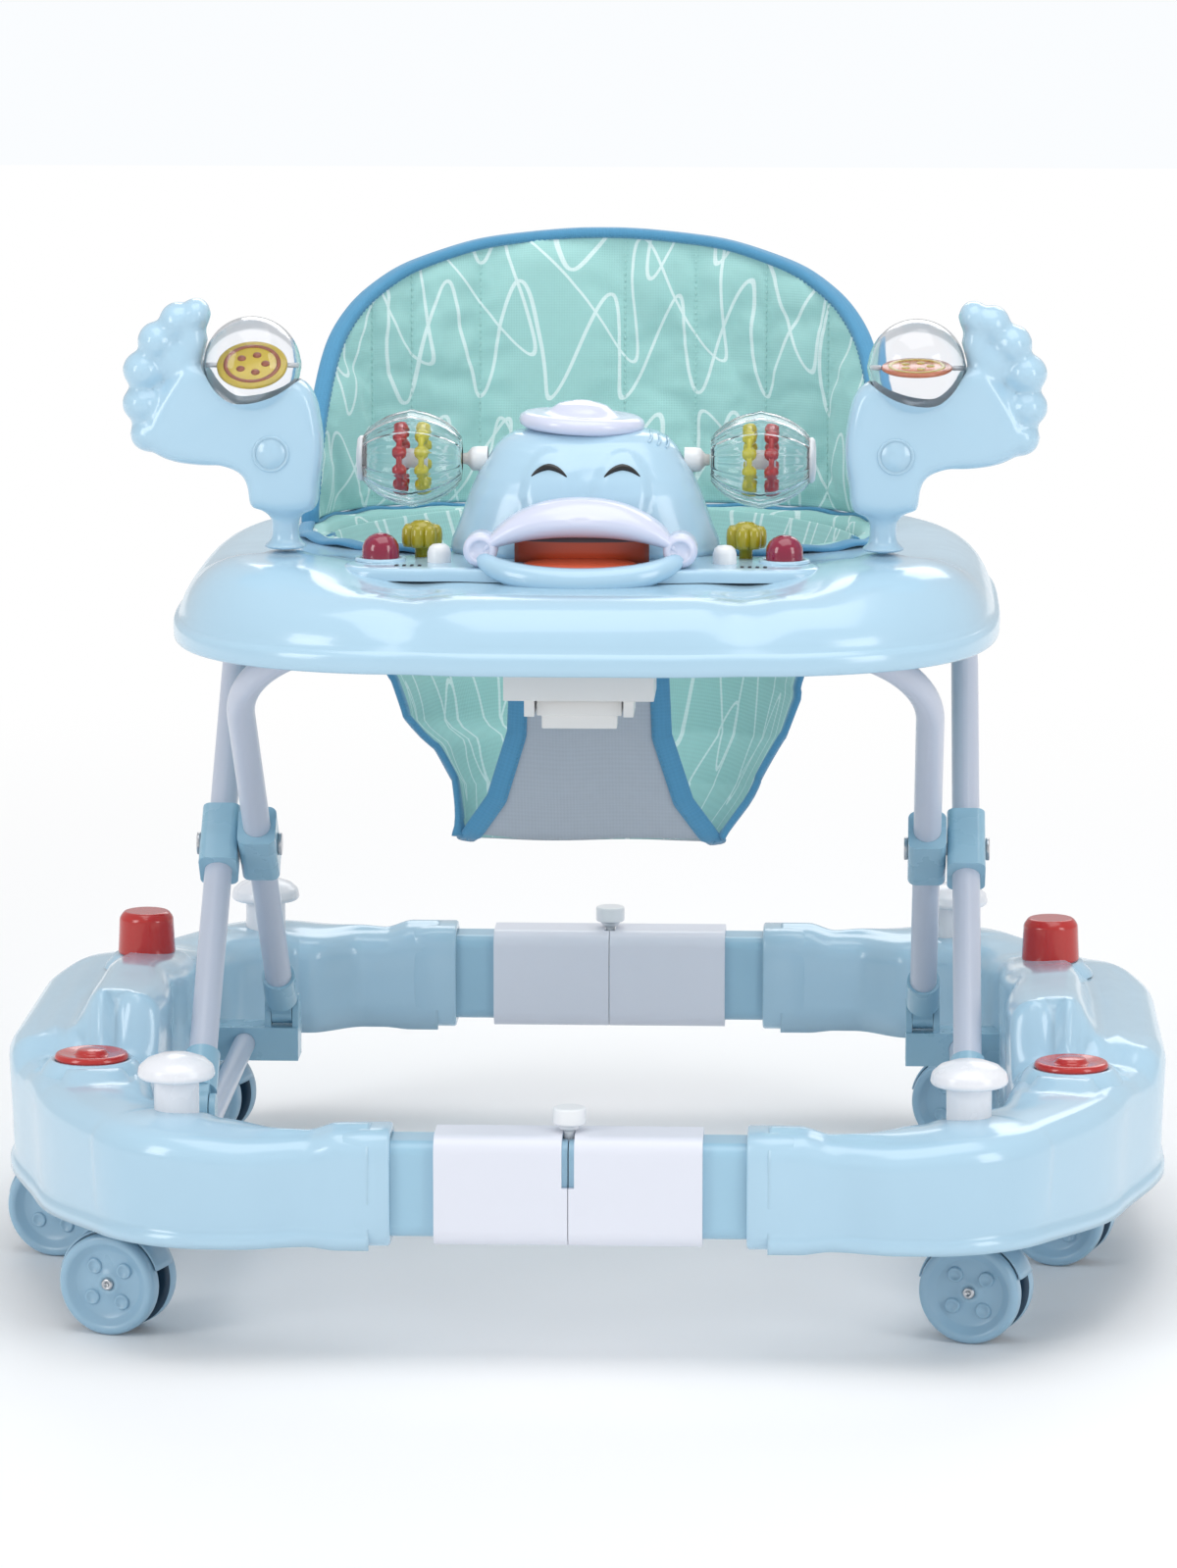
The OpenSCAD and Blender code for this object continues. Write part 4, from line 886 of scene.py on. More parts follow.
facing_front = Matrix.Rotation(math.radians(90), 3, "X")
cheeks = [lathe([(0.01, 17), (5.4, 17), (6, 18.4), (6.8, 18.8), (8.8, 17.6), (10, 14.8), (10.2, 10),
    (10, -4), (8, -7), (0.01, -7)],
                (sx * 58.5, BILL_Y, BILL_Z), facing_front, 40) for sx in (-1, 1)]
bill = new_piece("duck_bill_skin", *joined(bill_skin(), *cheeks), cheek_lavender)
rides(bill, "duck_bill", "pale_plastic", "duck_bill")
nostril_parts = []
# Nostril slots: thin dark tubes of painted shade standing in for the shade inside the slots.
for sx in (-1, 1):
    slot = [(sx * 11.5 + dx, BILL_Y - 17.5 + abs(dx) * 0.12, 474.6 - 0.02 * dx * dx)
        for dx in (-3.6, -1.8, 0, 1.8, 3.6)]
    nostril_parts.append(tube_along(slot, [0.3, 0.8, 0.9, 0.8, 0.3], 8))
nostrils = new_piece("bill_nostrils", *joined(*nostril_parts), hole_shadow_paint)
rides(nostrils, "duck_bill", "pale_plastic")

mouth_red = finish_of("mouth_red_plastic", (0.62, 0.10, 0.04), 0.3, coat=0.2)
mouth_shadow_paint = finish_of("mouth_shadow_plastic", (0.10, 0.09, 0.11), 0.4)
tongue = lathe([(0.01, 3.9), (16, 3.6), (24, 2.6), (26.5, 1.2), (26.8, 0.3), (0.01, 0.3)], (0, 0, 0),
    steps=48)
tongue = ([(p[0] * 1.3, p[1] * 0.9 - 157, p[2] + PANEL_Z + 0.4) for p in tongue[0]], tongue[1])
mouth = new_piece("duck_tongue", *tongue, mouth_red)
rides(mouth, "tray", "orange_plastic", "duck_mouth")
# The mouth's back wall: red below, and above the tongue a dark band of painted shadow.
throat_rings = [[(x * 0.9, -146 + 0.004 * x * x, z) for x in range(-44, 45, 4)]
    for z in (PANEL_Z + 0.5, 445, 451, 457)]
throat = new_piece("mouth_back", *skin_of(throat_rings), mouth_shadow_paint)
two_paints(throat, mouth_red, lambda c: c.z < 451)
add_wall(throat, 1.0)
rides(throat, "tray", "light_blue_plastic")

# ---- Rattles ----
# Clear ribbed barrels that spin on stub axles from the head. Each holds a ring of red beads and
# a ring of yellow beads, and has a white end cap on its outer side.
clear_plastic = bpy.data.materials.new("clear_plastic")
clear_plastic.use_nodes = True
clear_shader = clear_plastic.node_tree.nodes["Principled BSDF"]
clear_skin = clear_plastic.node_tree.nodes.new("ShaderNodeGroup")
clear_skin.node_tree = moulded_surface
clear_skin.inputs["Gloss"].default_value = 0.04
clear_skin.inputs["Gloss drift"].default_value = 0.04
clear_skin.inputs["Colour"].default_value = (0.96, 0.97, 0.99, 1)
clear_skin.inputs["Drift"].default_value = 0.02
clear_plastic.node_tree.links.new(clear_skin.outputs["Colour"], clear_shader.inputs["Base Color"])
clear_plastic.node_tree.links.new(clear_skin.outputs["Roughness"], clear_shader.inputs["Roughness"])
clear_shader.inputs["Transmission Weight"].default_value = 1.0
clear_shader.inputs["IOR"].default_value = 1.3
bead_red = finish_of("bead_red_plastic", (0.50, 0.015, 0.02), 0.2, coat=0.3)
bead_yellow = finish_of("bead_yellow_plastic", (0.66, 0.60, 0.03), 0.25, coat=0.3)
barrel_rows = []
for h, r in ((-30, 8), (-29.6, 14), (-26, 17.5), (-21, 21.5), (-15, 24.8), (-9, 27), (-3, 28.2),
    (-1.2, 28.9), (1.2, 28.9), (3, 28.2), (9, 27), (15, 24.8), (21, 21.5),
             (26, 17.5), (29.6, 14), (30, 8)):
    ring = []
    for i in range(168):
        a = 2 * math.pi * i / 168
        rib = 1.3 * abs(math.cos(7 * a)) ** 8 * (1 if abs(h) < 27 else 0)
        ring.append(((r - 0.9 + rib) * math.cos(a), (r - 0.9 + rib) * math.sin(a), h))
    barrel_rows.append(ring)
barrel = skin_of(barrel_rows, around=True)
bead = lathe([(0.01, 4.4), (2.2, 3.9), (3.8, 2.2), (4.4, 0), (3.8, -2.2), (2.2, -3.9), (0.01, -4.4)],
    (0, 0, 0), steps=14)
bead_ring = in_a_ring(bead, 10, 17.5, bead_red)
band = lathe([(14.6, -1.6), (20.6, -1.6), (20.6, 1.6), (14.6, 1.6), (14.6, -1.6)], (0, 0, 0), steps=40)
hub = lathe([(4.4, -9), (4.4, 9), (5.6, 9), (5.6, -9), (4.4, -9)], (0, 0, 0), steps=20)
end_cap = lathe([(13.6, 28.6), (13.6, 31), (12, 32.4), (7, 33), (0.01, 33), (0.01, 31), (6, 31), (11, 30),
    (12.6, 28.6), (13.6, 28.6)], (0, 0, 0), steps=40)
for side, sx in (("left", -1), ("right", 1)):
    across = Matrix.Rotation(math.radians(90 * sx), 3, "Y")
    spot = (sx * 104, -75, 491.8)
    drum = new_piece(f"rattle_barrel_{side}", *placed(barrel, across, spot), clear_plastic)
    add_wall(drum, 1.1)
    rides(drum, f"rattle_{side}", "clear_plastic", f"rattle_{side}")
    reds = placed(joined(bead_ring, band), across, (sx * 110.5, -75, 491.8))
    golds = placed(joined(bead_ring, band), across, (sx * 97.5, -75, 491.8))
    red_ring = new_piece(f"rattle_red_beads_{side}", *reds, bead_red)
    gold_ring = new_piece(f"rattle_yellow_beads_{side}", *golds, bead_yellow)
    rides(red_ring, f"rattle_{side}", "red_plastic", f"rattle_beads_{side}")
    rides(gold_ring, f"rattle_{side}", "yellow_plastic")
    cap = new_piece(f"rattle_end_cap_{side}", *placed(joined(end_cap, hub), across, spot), knob_white)
    rides(cap, f"rattle_{side}", "white_plastic")

# ---- Hand toys ----
# Two hollow moulded hands on short swivel necks. Each palm and its puffy fingers hold a clear
# ball in a round scoop, and a printed disc tips on pins inside the ball.
BALL = Vector((-19, 0, 109))
BALL_R = 29.0


def blob(centre, sizes, tilt=0.0):
    """An ellipsoid as points and faces, tilted about Y."""
    rows = []
    turn = Matrix.Rotation(math.radians(tilt), 3, "Y")
    for i in range(1, 12):
        lat = math.pi * i / 12 - math.pi / 2
        rows.append([Vector(centre)
            + turn @ Vector((sizes[0] * math.cos(lat) * math.cos(2 * math.pi * j / 20),
            sizes[1] * math.cos(lat) * math.sin(2 * math.pi * j / 20),
                                                      sizes[2] * math.sin(lat))) for j in range(20)])
    return skin_of(rows, around=True, capped=True)


def slab(outline, half):
    """A rounded slab from a side outline, thickest in its middle."""
    path = rounded_path(outline + outline[:1], 2)[:-1]
    cx = sum(p[0] for p in path) / len(path)
    cz = sum(p[1] for p in path) / len(path)
    rows = []
    for y, shrink in ((-half, 0.80), (-half * 0.93, 0.9), (-half * 0.7, 0.97), (-half * 0.3, 1),
        (half * 0.3, 1), (half * 0.7, 0.97), (half * 0.93, 0.9), (half, 0.80)):
        rows.append([(cx + (x - cx) * shrink, y, cz + (z - cz) * shrink) for x, z in path])
    return skin_of(rows, around=True, capped=True)


wrist = slab([(-17, 21), (15, 21), (20, 27), (20, 38), (23, 54), (23, 70), (18, 96), (4, 104), (-30, 98),
    (-60, 74), (-70, 62), (-62, 54), (-40, 51), (-25, 46), (-21, 36), (-21, 27)], 16)
palm = slab([(-20, 52), (20, 52), (10, 84), (-24, 92), (-52, 112), (-62, 110), (-82, 76), (-84, 62),
    (-70, 52), (-44, 49)], 15.5)
fingers = [blob((-80, 0, 68), (12, 15, 11)), blob((-84, 0, 86), (12.5, 16, 11.5)),
    blob((-83, 0, 106), (13, 16.5, 12)),
           blob((-75, 0, 123), (12, 16, 12)), blob((-63, 0, 135), (11, 15, 11.5)),
    blob((-52, 0, 139), (9, 14, 10)),
           blob((-66, 0, 88), (16, 13, 14)), blob((-62, 0, 112), (15, 13, 16)),
    blob((-54, 0, 124), (9, 12.5, 15), -12)]
neck = lathe([(0.01, 0.2), (13.5, 0.2), (13.2, 2.6), (9.6, 4), (8.4, 6), (8.2, 16), (8.6, 19), (12.5, 22),
    (15, 28), (0.01, 28)], (0, 0, 0), steps=40)


def hand(side):
    sx = -1 if side == "left" else 1
    points, faces = joined(wrist, palm, neck, *fingers)
    model = new_piece(f"cartoon_hand_{side}", points, faces, shell_blue)
    remesh = add_modifier(model, "REMESH", mode="VOXEL", voxel_size=0.0018)
    mesh = bpy.data.meshes.new_from_object(model.evaluated_get(bpy.context.evaluated_depsgraph_get()))
    model.modifiers.remove(remesh)
    shape = bmesh.new()
    shape.from_mesh(mesh)
    for _ in range(5):
        bmesh.ops.smooth_vert(shape, verts=shape.verts, factor=0.5, use_axis_x=True, use_axis_y=True,
            use_axis_z=True)
    for v in shape.verts:
        p = v.co * 1000 - BALL
        if p.length < BALL_R + 0.9:
            p = p.normalized() * (BALL_R + 0.9)
            v.co = (p + BALL) * 0.001
    for _ in range(2):
        bmesh.ops.smooth_vert(shape, verts=shape.verts, factor=0.3, use_axis_x=True, use_axis_y=True,
            use_axis_z=True)
    for v in shape.verts:
        p = v.co * 1000 - BALL
        if p.length < BALL_R + 0.7:
            v.co = (p.normalized() * (BALL_R + 0.7) + BALL) * 0.001
        v.co = Vector((-sx * v.co.x, v.co.y, v.co.z)) + Vector((sx * 0.177, -0.110, 0.44188))
    if sx > 0:
        bmesh.ops.reverse_faces(shape, faces=shape.faces)
    for face in shape.faces:
        face.smooth = True
    shape.to_mesh(mesh)
    shape.free()
    model.data = mesh
    mesh.materials.clear()
    mesh.materials.append(shell_blue)
    rides(model, f"hand_{side}", "light_blue_plastic", f"hand_{side}")
    return sx


disc_yellow = finish_of("disc_yellow_print", (0.62, 0.45, 0.03), 0.25, coat=0.3)
disc_brown = finish_of("disc_brown_print", (0.32, 0.07, 0.02), 0.3, coat=0.3)
disc_orange = finish_of("disc_orange_print", (0.60, 0.16, 0.06), 0.25, coat=0.3)
disc_gold = finish_of("disc_gold_print", (0.55, 0.42, 0.05), 0.3, coat=0.3)
for side in ("left", "right"):
    sx = hand(side)
    centre = (sx * 196, -110, 441.88 + 109)
    boss_parts = []
    for face_y in (-1, 1):
        out = Matrix.Rotation(math.radians(90 if face_y < 0 else -90), 3, "X")
        boss_parts.append(lathe([(11, 0), (10.8, 1.0), (10, 1.7), (9.2, 0.5), (8.7, 0.5), (8.2, 1.3),
            (0.01, 1.5)], (sx * 184, -110 + face_y * 15.6, 500), out, 40))
    boss = new_piece(f"hand_boss_{side}", *joined(*boss_parts), shell_blue)
    rides(boss, f"hand_{side}", "light_blue_plastic")
    rows = []
    for i in range(49):
        lat = math.pi * i / 48 - math.pi / 2
        r = BALL_R - 0.2 + (0.35 if abs(i - 24) <= 1 else 0)
        rows.append([(centre[0] + r * math.cos(lat) * math.cos(2 * math.pi * j / 64),
            centre[1] + r * math.cos(lat) * math.sin(2 * math.pi * j / 64), centre[2] + r * math.sin(lat))
                     for j in range(64)])
    ball = new_piece(f"clear_ball_{side}", *skin_of(rows, around=True), clear_plastic)
    add_wall(ball, 1.2)
    rides(ball, f"ball_{side}", "clear_plastic", f"ball_{side}")
    tilt = Matrix.Rotation(math.radians(35 if side == "left" else 8), 3, "X")
    face_part = lathe([(0.01, 1.1), (20, 1.1), (20.9, 0.5), (20.9, -0.5), (20, -1.1), (0.01, -1.1)],
        (0, 0, 0), steps=56)
    marks = [lathe([(14.5, 1.1), (14.7, 1.5), (16.8, 1.5), (17, 1.1)], (0, 0, 0), steps=48),
             lathe([(14.5, -1.1), (14.7, -1.5), (16.8, -1.5), (17, -1.1)], (0, 0, 0), steps=48)]
    for i in range(5):
        a = 2 * math.pi * i / 5
        marks.append(lathe([(0.01, 1.5), (2.4, 1.5), (2.6, 1.1)], (8 * math.cos(a), 8 * math.sin(a), 0),
            steps=16))
    paints = (disc_yellow, disc_brown) if side == "left" else (disc_orange, disc_gold)
    plate = new_piece(f"tipping_disc_{side}", *placed(face_part, tilt, centre), paints[0])
    rides(plate, f"ball_disc_{side}", "yellow_plastic" if side == "left" else "orange_plastic",
        f"ball_disc_{side}")
    print_marks = new_piece(f"disc_print_{side}", *placed(joined(*marks), tilt, centre), paints[1])
    rides(print_marks, f"ball_disc_{side}", "orange_plastic")
    pins = [lathe([(0.01, 0), (1.5, 0), (1.5, 7.5), (0.01, 7.5)],
        (centre[0] + d * 21, centre[1], centre[2]), Matrix.Rotation(math.radians(90 * d), 3, "Y"), 16)
            for d in (-1, 1)]
    pin_pair = new_piece(f"disc_pins_{side}", *joined(*pins), knob_white)
    rides(pin_pair, f"ball_{side}", "clear_plastic")

# ---- Seat cloth ----
# Mint polyester with a printed pattern of pale overlapping loops, over a thin wadding. Edges
# are bound in blue tape, and the crotch panel is a plain grey woven cloth.


def sums(tree, kind, *values):
    """A Math node of one kind on sockets or numbers."""
    step = tree.nodes.new("ShaderNodeMath")
    step.operation = kind
    for i, value in enumerate(values):
        if isinstance(value, (int, float)):
            step.inputs[i].default_value = value
        else:
            tree.links.new(value, step.inputs[i])
    return step.outputs[0]


def loop_group():
    """Shader group: one family of printed wavy lines, steep enough to read as loops."""
    tree = bpy.data.node_groups.new("printed_loops", "ShaderNodeTree")
    for label, value in (("Pitch", 0.05), ("Swing", 0.03), ("Row", 0.07), ("Lean", 0.3), ("Line", 0.0022)):
        tree.interface.new_socket(label, in_out="INPUT",
            socket_type="NodeSocketFloat").default_value = value
    tree.interface.new_socket("Mask", in_out="OUTPUT", socket_type="NodeSocketFloat")
    given, made = tree.nodes.new("NodeGroupInput"), tree.nodes.new("NodeGroupOutput")
    cloth = tree.nodes.new("ShaderNodeUVMap")
    cloth.uv_map = "cloth_plan"
    wander = tree.nodes.new("ShaderNodeTexNoise")
    wander.inputs["Scale"].default_value = 9
    wander.inputs["Detail"].default_value = 0
    tree.links.new(cloth.outputs["UV"], wander.inputs["Vector"])
    plan, drift = tree.nodes.new("ShaderNodeSeparateXYZ"), tree.nodes.new("ShaderNodeSeparateColor")
    tree.links.new(cloth.outputs["UV"], plan.inputs[0])
    tree.links.new(wander.outputs["Color"], drift.inputs[0])
    v = sums(tree, "MULTIPLY_ADD", drift.outputs[1], 0.045, plan.outputs["Y"])
    u = sums(tree, "MULTIPLY_ADD", drift.outputs[0], 0.045, plan.outputs["X"])
    u = sums(tree, "MULTIPLY_ADD", v, given.outputs["Lean"], u)
    turn = sums(tree, "MULTIPLY", sums(tree, "DIVIDE", u, given.outputs["Pitch"]), 2 * math.pi)
    height = sums(tree, "MULTIPLY_ADD", sums(tree, "SINE", turn), given.outputs["Swing"], v)
    row = sums(tree, "DIVIDE", height, given.outputs["Row"])
    gap = sums(tree, "MULTIPLY", sums(tree, "PINGPONG", row, 0.5), given.outputs["Row"])
    slope = sums(tree, "MULTIPLY", sums(tree, "DIVIDE", given.outputs["Swing"], given.outputs["Pitch"]),
        sums(tree, "COSINE", turn))
    steep = sums(tree, "SQRT", sums(tree, "MULTIPLY_ADD", sums(tree, "MULTIPLY", slope, slope), 39.5, 1.0))
    away = sums(tree, "DIVIDE", gap, steep)
    soft = tree.nodes.new("ShaderNodeMapRange")
    soft.interpolation_type = "SMOOTHSTEP"
    tree.links.new(away, soft.inputs["Value"])
    tree.links.new(sums(tree, "MULTIPLY", given.outputs["Line"], 0.38), soft.inputs["From Min"])
    tree.links.new(sums(tree, "MULTIPLY", given.outputs["Line"], 0.62), soft.inputs["From Max"])
    soft.inputs["To Min"].default_value, soft.inputs["To Max"].default_value = 1, 0
    tree.links.new(soft.outputs["Result"], made.inputs["Mask"])
    return tree


def weave_group():
    """Shader group: woven threads that run along and across the cloth, as a height and a shade."""
    tree = bpy.data.node_groups.new("woven_threads", "ShaderNodeTree")
    for label, value in (("Threads", 620.0), ("Depth", 0.35)):
        tree.interface.new_socket(label, in_out="INPUT",
            socket_type="NodeSocketFloat").default_value = value
    tree.interface.new_socket("Shade", in_out="OUTPUT", socket_type="NodeSocketFloat")
    tree.interface.new_socket("Normal", in_out="OUTPUT", socket_type="NodeSocketVector")
    given, made = tree.nodes.new("NodeGroupInput"), tree.nodes.new("NodeGroupOutput")
    cloth = tree.nodes.new("ShaderNodeUVMap")
    cloth.uv_map = "cloth_plan"
    plan = tree.nodes.new("ShaderNodeSeparateXYZ")
    tree.links.new(cloth.outputs["UV"], plan.inputs[0])
    warp = sums(tree, "PINGPONG", sums(tree, "MULTIPLY", plan.outputs["X"], given.outputs["Threads"]), 0.5)
    weft = sums(tree, "PINGPONG", sums(tree, "MULTIPLY", plan.outputs["Y"], given.outputs["Threads"]), 0.5)
    thread = sums(tree, "ADD", warp, weft)
    slub = tree.nodes.new("ShaderNodeTexNoise")
    slub.inputs["Scale"].default_value = 160
    tree.links.new(cloth.outputs["UV"], slub.inputs["Vector"])
    height = sums(tree, "MULTIPLY_ADD", slub.outputs["Fac"], 0.6, thread)
    bump = tree.nodes.new("ShaderNodeBump")
    bump.inputs["Distance"].default_value = 0.0004
    tree.links.new(given.outputs["Depth"], bump.inputs["Strength"])
    tree.links.new(height, bump.inputs["Height"])
    tree.links.new(bump.outputs["Normal"], made.inputs["Normal"])
    tree.links.new(sums(tree, "MULTIPLY_ADD", height, 0.10, 0.93), made.inputs["Shade"])
    return tree


printed_loops, woven_threads = loop_group(), weave_group()


def cloth_paint(name, colour, lines=None, threads=620.0, depth=0.35, sheen=0.25, rough=0.8):
    """Woven cloth in one colour, with printed loops where lines gives their colour."""
    paint = bpy.data.materials.new(name)
    paint.use_nodes = True
    tree = paint.node_tree
    shader = tree.nodes["Principled BSDF"]
    weave = tree.nodes.new("ShaderNodeGroup")
    weave.node_tree = woven_threads
    weave.inputs["Threads"].default_value = threads
    weave.inputs["Depth"].default_value = depth
    base = tree.nodes.new("ShaderNodeMix")
    base.data_type = "RGBA"
    base.inputs["A"].default_value = (*colour, 1)
    base.inputs["B"].default_value = (*(lines or colour), 1)
    base.inputs["Factor"].default_value = 0
    if lines:
        masks = []
        for pitch, swing, row, lean, width in ((0.050, 0.034, 0.080, 0.25, 0.0023),
            (0.067, 0.042, 0.118, -0.35, 0.0020)):
            family = tree.nodes.new("ShaderNodeGroup")
            family.node_tree = printed_loops
            for label, value in (("Pitch", pitch), ("Swing", swing), ("Row", row), ("Lean", lean),
                ("Line", width)):
                family.inputs[label].default_value = value
            masks.append(family.outputs["Mask"])
        tree.links.new(sums(tree, "MULTIPLY", sums(tree, "MAXIMUM", *masks), 0.85), base.inputs["Factor"])
    shade = tree.nodes.new("ShaderNodeHueSaturation")
    tree.links.new(weave.outputs["Shade"], shade.inputs["Value"])
    tree.links.new(base.outputs["Result"], shade.inputs["Color"])
    tree.links.new(shade.outputs["Color"], shader.inputs["Base Color"])
    tree.links.new(weave.outputs["Normal"], shader.inputs["Normal"])
    shader.inputs["Roughness"].default_value = rough
    shader.inputs["Sheen Weight"].default_value = sheen
    shader.inputs["Sheen Roughness"].default_value = 0.5
    shader.inputs["Specular IOR Level"].default_value = 0.3
    return paint


mint_print = cloth_paint("mint_printed_cloth", (0.36, 0.64, 0.615), (0.74, 0.88, 0.87))
grey_cloth = cloth_paint("grey_woven_cloth", (0.42, 0.47, 0.53), None, 500.0, 0.25)
blue_tape = cloth_paint("blue_binding_tape", (0.085, 0.30, 0.50), None, 900.0, 0.5, 0.3, 0.7)
blue_thread = finish_of("blue_sewing_thread", (0.10, 0.30, 0.46), 0.6)
mint_thread = finish_of("mint_sewing_thread", (0.40, 0.66, 0.63), 0.6)


def cloth_plan(piece, measure):
    """UV map in metres, from a function of each loop's vertex index."""
    layer = piece.data.uv_layers.new(name="cloth_plan")
    for loop in piece.data.loops:
        layer.data[loop.index].uv = measure(loop.vertex_index)


def ribbon(path, across, half_width, half_thick):
    """Bound edge: a flat rounded tape along a path, half_width each way along the across vectors."""
    rings = []
    for i, (p, side) in enumerate(zip(path, across)):
        p, side = Vector(p), Vector(side).normalized()
        ahead = (Vector(path[min(i + 1, len(path) - 1)]) - Vector(path[max(i - 1, 0)])).normalized()
        face = ahead.cross(side).normalized()
        side = face.cross(ahead).normalized()
        rings.append([p + side * half_width * math.copysign(abs(math.cos(b)) ** 0.6, math.cos(b))
            + face * half_thick * math.copysign(abs(math.sin(b)) ** 0.8, math.sin(b))
                      for b in [2 * math.pi * j / 14 for j in range(14)]])
    return skin_of(rings, around=True, capped=True)


def stitch_tree():
    """Geometry Nodes tree: stitches at an even spacing along a path."""
    tree = bpy.data.node_groups.new("stitched_line", "GeometryNodeTree")
    tree.interface.new_socket("Geometry", in_out="INPUT", socket_type="NodeSocketGeometry")
    tree.interface.new_socket("Geometry", in_out="OUTPUT", socket_type="NodeSocketGeometry")
    for label, kind in (("Spacing", "NodeSocketFloat"), ("Length", "NodeSocketFloat"),
        ("Thread", "NodeSocketFloat"), ("Paint", "NodeSocketMaterial")):
        tree.interface.new_socket(label, in_out="INPUT", socket_type=kind)
    new, link = tree.nodes.new, tree.links.new
    given, made = new("NodeGroupInput"), new("NodeGroupOutput")
    path = new("GeometryNodeMeshToCurve")
    spaced = new("GeometryNodeResampleCurve")
    spaced.mode = "LENGTH"
    thread = new("GeometryNodeMeshUVSphere")
    thread.inputs["Segments"].default_value = 6
    thread.inputs["Rings"].default_value = 4
    thread.inputs["Radius"].default_value = 1.0
    copies = new("GeometryNodeInstanceOnPoints")
    tangent = new("GeometryNodeInputTangent")
    align = new("FunctionNodeAlignEulerToVector")
    align.axis = "X"
    size = new("ShaderNodeCombineXYZ")
    real = new("GeometryNodeRealizeInstances")
    coloured = new("GeometryNodeSetMaterial")
    link(given.outputs["Geometry"], path.inputs["Mesh"])
    link(path.outputs["Curve"], spaced.inputs["Curve"])
    link(given.outputs["Spacing"], spaced.inputs["Length"])
    link(spaced.outputs["Curve"], copies.inputs["Points"])
    link(thread.outputs["Mesh"], copies.inputs["Instance"])
    link(tangent.outputs["Tangent"], align.inputs["Vector"])
    link(align.outputs["Rotation"], copies.inputs["Rotation"])
    link(given.outputs["Length"], size.inputs["X"])
    link(given.outputs["Thread"], size.inputs["Y"])
    link(given.outputs["Thread"], size.inputs["Z"])
    link(size.outputs["Vector"], copies.inputs["Scale"])
    link(copies.outputs["Instances"], real.inputs["Geometry"])
    link(real.outputs["Geometry"], coloured.inputs["Geometry"])
    link(given.outputs["Paint"], coloured.inputs["Material"])
    link(coloured.outputs["Geometry"], made.inputs["Geometry"])
    return tree


stitched_line = stitch_tree()


def stitches(name, path, body, spacing=3.4, thread=None):
    """A row of stitches along a path, as one mesh piece."""
    mesh = bpy.data.meshes.new(name)
    mesh.from_pydata([Vector(p) * 0.001 for p in path], [(i, i + 1) for i in range(len(path) - 1)], [])
    row = bpy.data.objects.new(name, mesh)
    bpy.context.scene.collection.objects.link(row)
    step = row.modifiers.new("stitched_line", "NODES")
    step.node_group = stitched_line
    for item in stitched_line.interface.items_tree:
        if item.in_out == "INPUT" and item.name != "Geometry":
            step[item.identifier] = {"Spacing": spacing * 0.001, "Length": 0.0012, "Thread": 0.00034,
                "Paint": thread or blue_thread}[item.name]
    bpy.context.view_layer.update()
    sewn = bpy.data.meshes.new_from_object(row.evaluated_get(bpy.context.evaluated_depsgraph_get()))
    row.modifiers.clear()
    row.data = sewn
    for face in sewn.polygons:
        face.use_smooth = True
    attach(row, body)
    return row


# ---- Backrest ----
# The padded back wraps round the rear of the opening and rises to an arch. It is two layers of
# printed cloth over wadding, quilted by upright seams and bound round its edge in blue tape.
BACK_H = 174.0
BACK_TOP = [(0, 1.0), (20, 0.96), (40, 0.87), (55, 0.76), (67, 0.63), (78, 0.38), (88, 0.06)]


def back_top(a):
    off = abs(a - 90)
    for (a0, h0), (a1, h1) in zip(BACK_TOP, BACK_TOP[1:]):
        if off <= a1:
            return BACK_H * (h0 + (h1 - h0) * (off - a0) / (a1 - a0))
    return BACK_H * 0.06


tops = [back_top(2 + 176 * i / 160) for i in range(161)]
for _ in range(18):
    tops = [tops[0]] + [(tops[i - 1] + tops[i] * 2 + tops[i + 1]) / 4 for i in range(1, 160)] + [tops[-1]]
scale_up = (BACK_H - 1) / max(tops)
tops = [h * scale_up for h in tops]


def back_point(i, share, out):
    a = math.radians(2 + 176 * i / 160)
    h = 3 + (tops[i] - 3) * share
    x, y = oval(a, HOLE_X + 7 + out, HOLE_B + 9 + out, HOLE_Y, 0.78)
    return Vector((x, y + 18 * h / BACK_H * math.sin(a), DECK_Z + 0.8 + h))


BACK_ROWS = 30
seam_x = (-141, -118, -78, 12, 58, 102, 139)
seam_columns = {0, 160}
for x in seam_x:
    seam_columns.add(min(range(10, 151), key=lambda i: abs(back_point(i, 0.4, 0).x - x)))
front_grid = [[back_point(i, j / BACK_ROWS, 3.5) for j in range(BACK_ROWS + 1)] for i in range(161)]
rear_grid = [[back_point(i, j / BACK_ROWS, 10.0) for j in range(BACK_ROWS + 1)] for i in range(161)]
back_points = [p for row in front_grid for p in row] + [p for row in rear_grid for p in row]
across_count = BACK_ROWS + 1
half_count = 161 * across_count
back_faces = []
for i in range(160):
    for j in range(BACK_ROWS):
        a, b = i * across_count + j, (i + 1) * across_count + j
        back_faces.append((a, a + 1, b + 1, b))
        back_faces.append((a + half_count, b + half_count, b + 1 + half_count, a + 1 + half_count))
border = [(i, 0) for i in range(161)] + [(160, j) for j in range(1, across_count)] + [(i, BACK_ROWS)
    for i in range(159, -1, -1)] + [(0, j) for j in range(BACK_ROWS - 1, 0, -1)]
for (i0, j0), (i1, j1) in zip(border, border[1:] + border[:1]):
    a, b = i0 * across_count + j0, i1 * across_count + j1
    back_faces.append((a, b, b + half_count, a + half_count))
backrest = new_piece("padded_backrest", back_points, back_faces, mint_print)
arc = [0.0]
for i in range(160):
    arc.append(arc[-1] + (back_point(i + 1, 0.5, 7) - back_point(i, 0.5, 7)).length * 0.001)
cloth_plan(backrest, lambda k: (arc[(k % half_count) // across_count], back_points[k].z * 0.001))
start = [v.co.copy() for v in backrest.data.vertices]


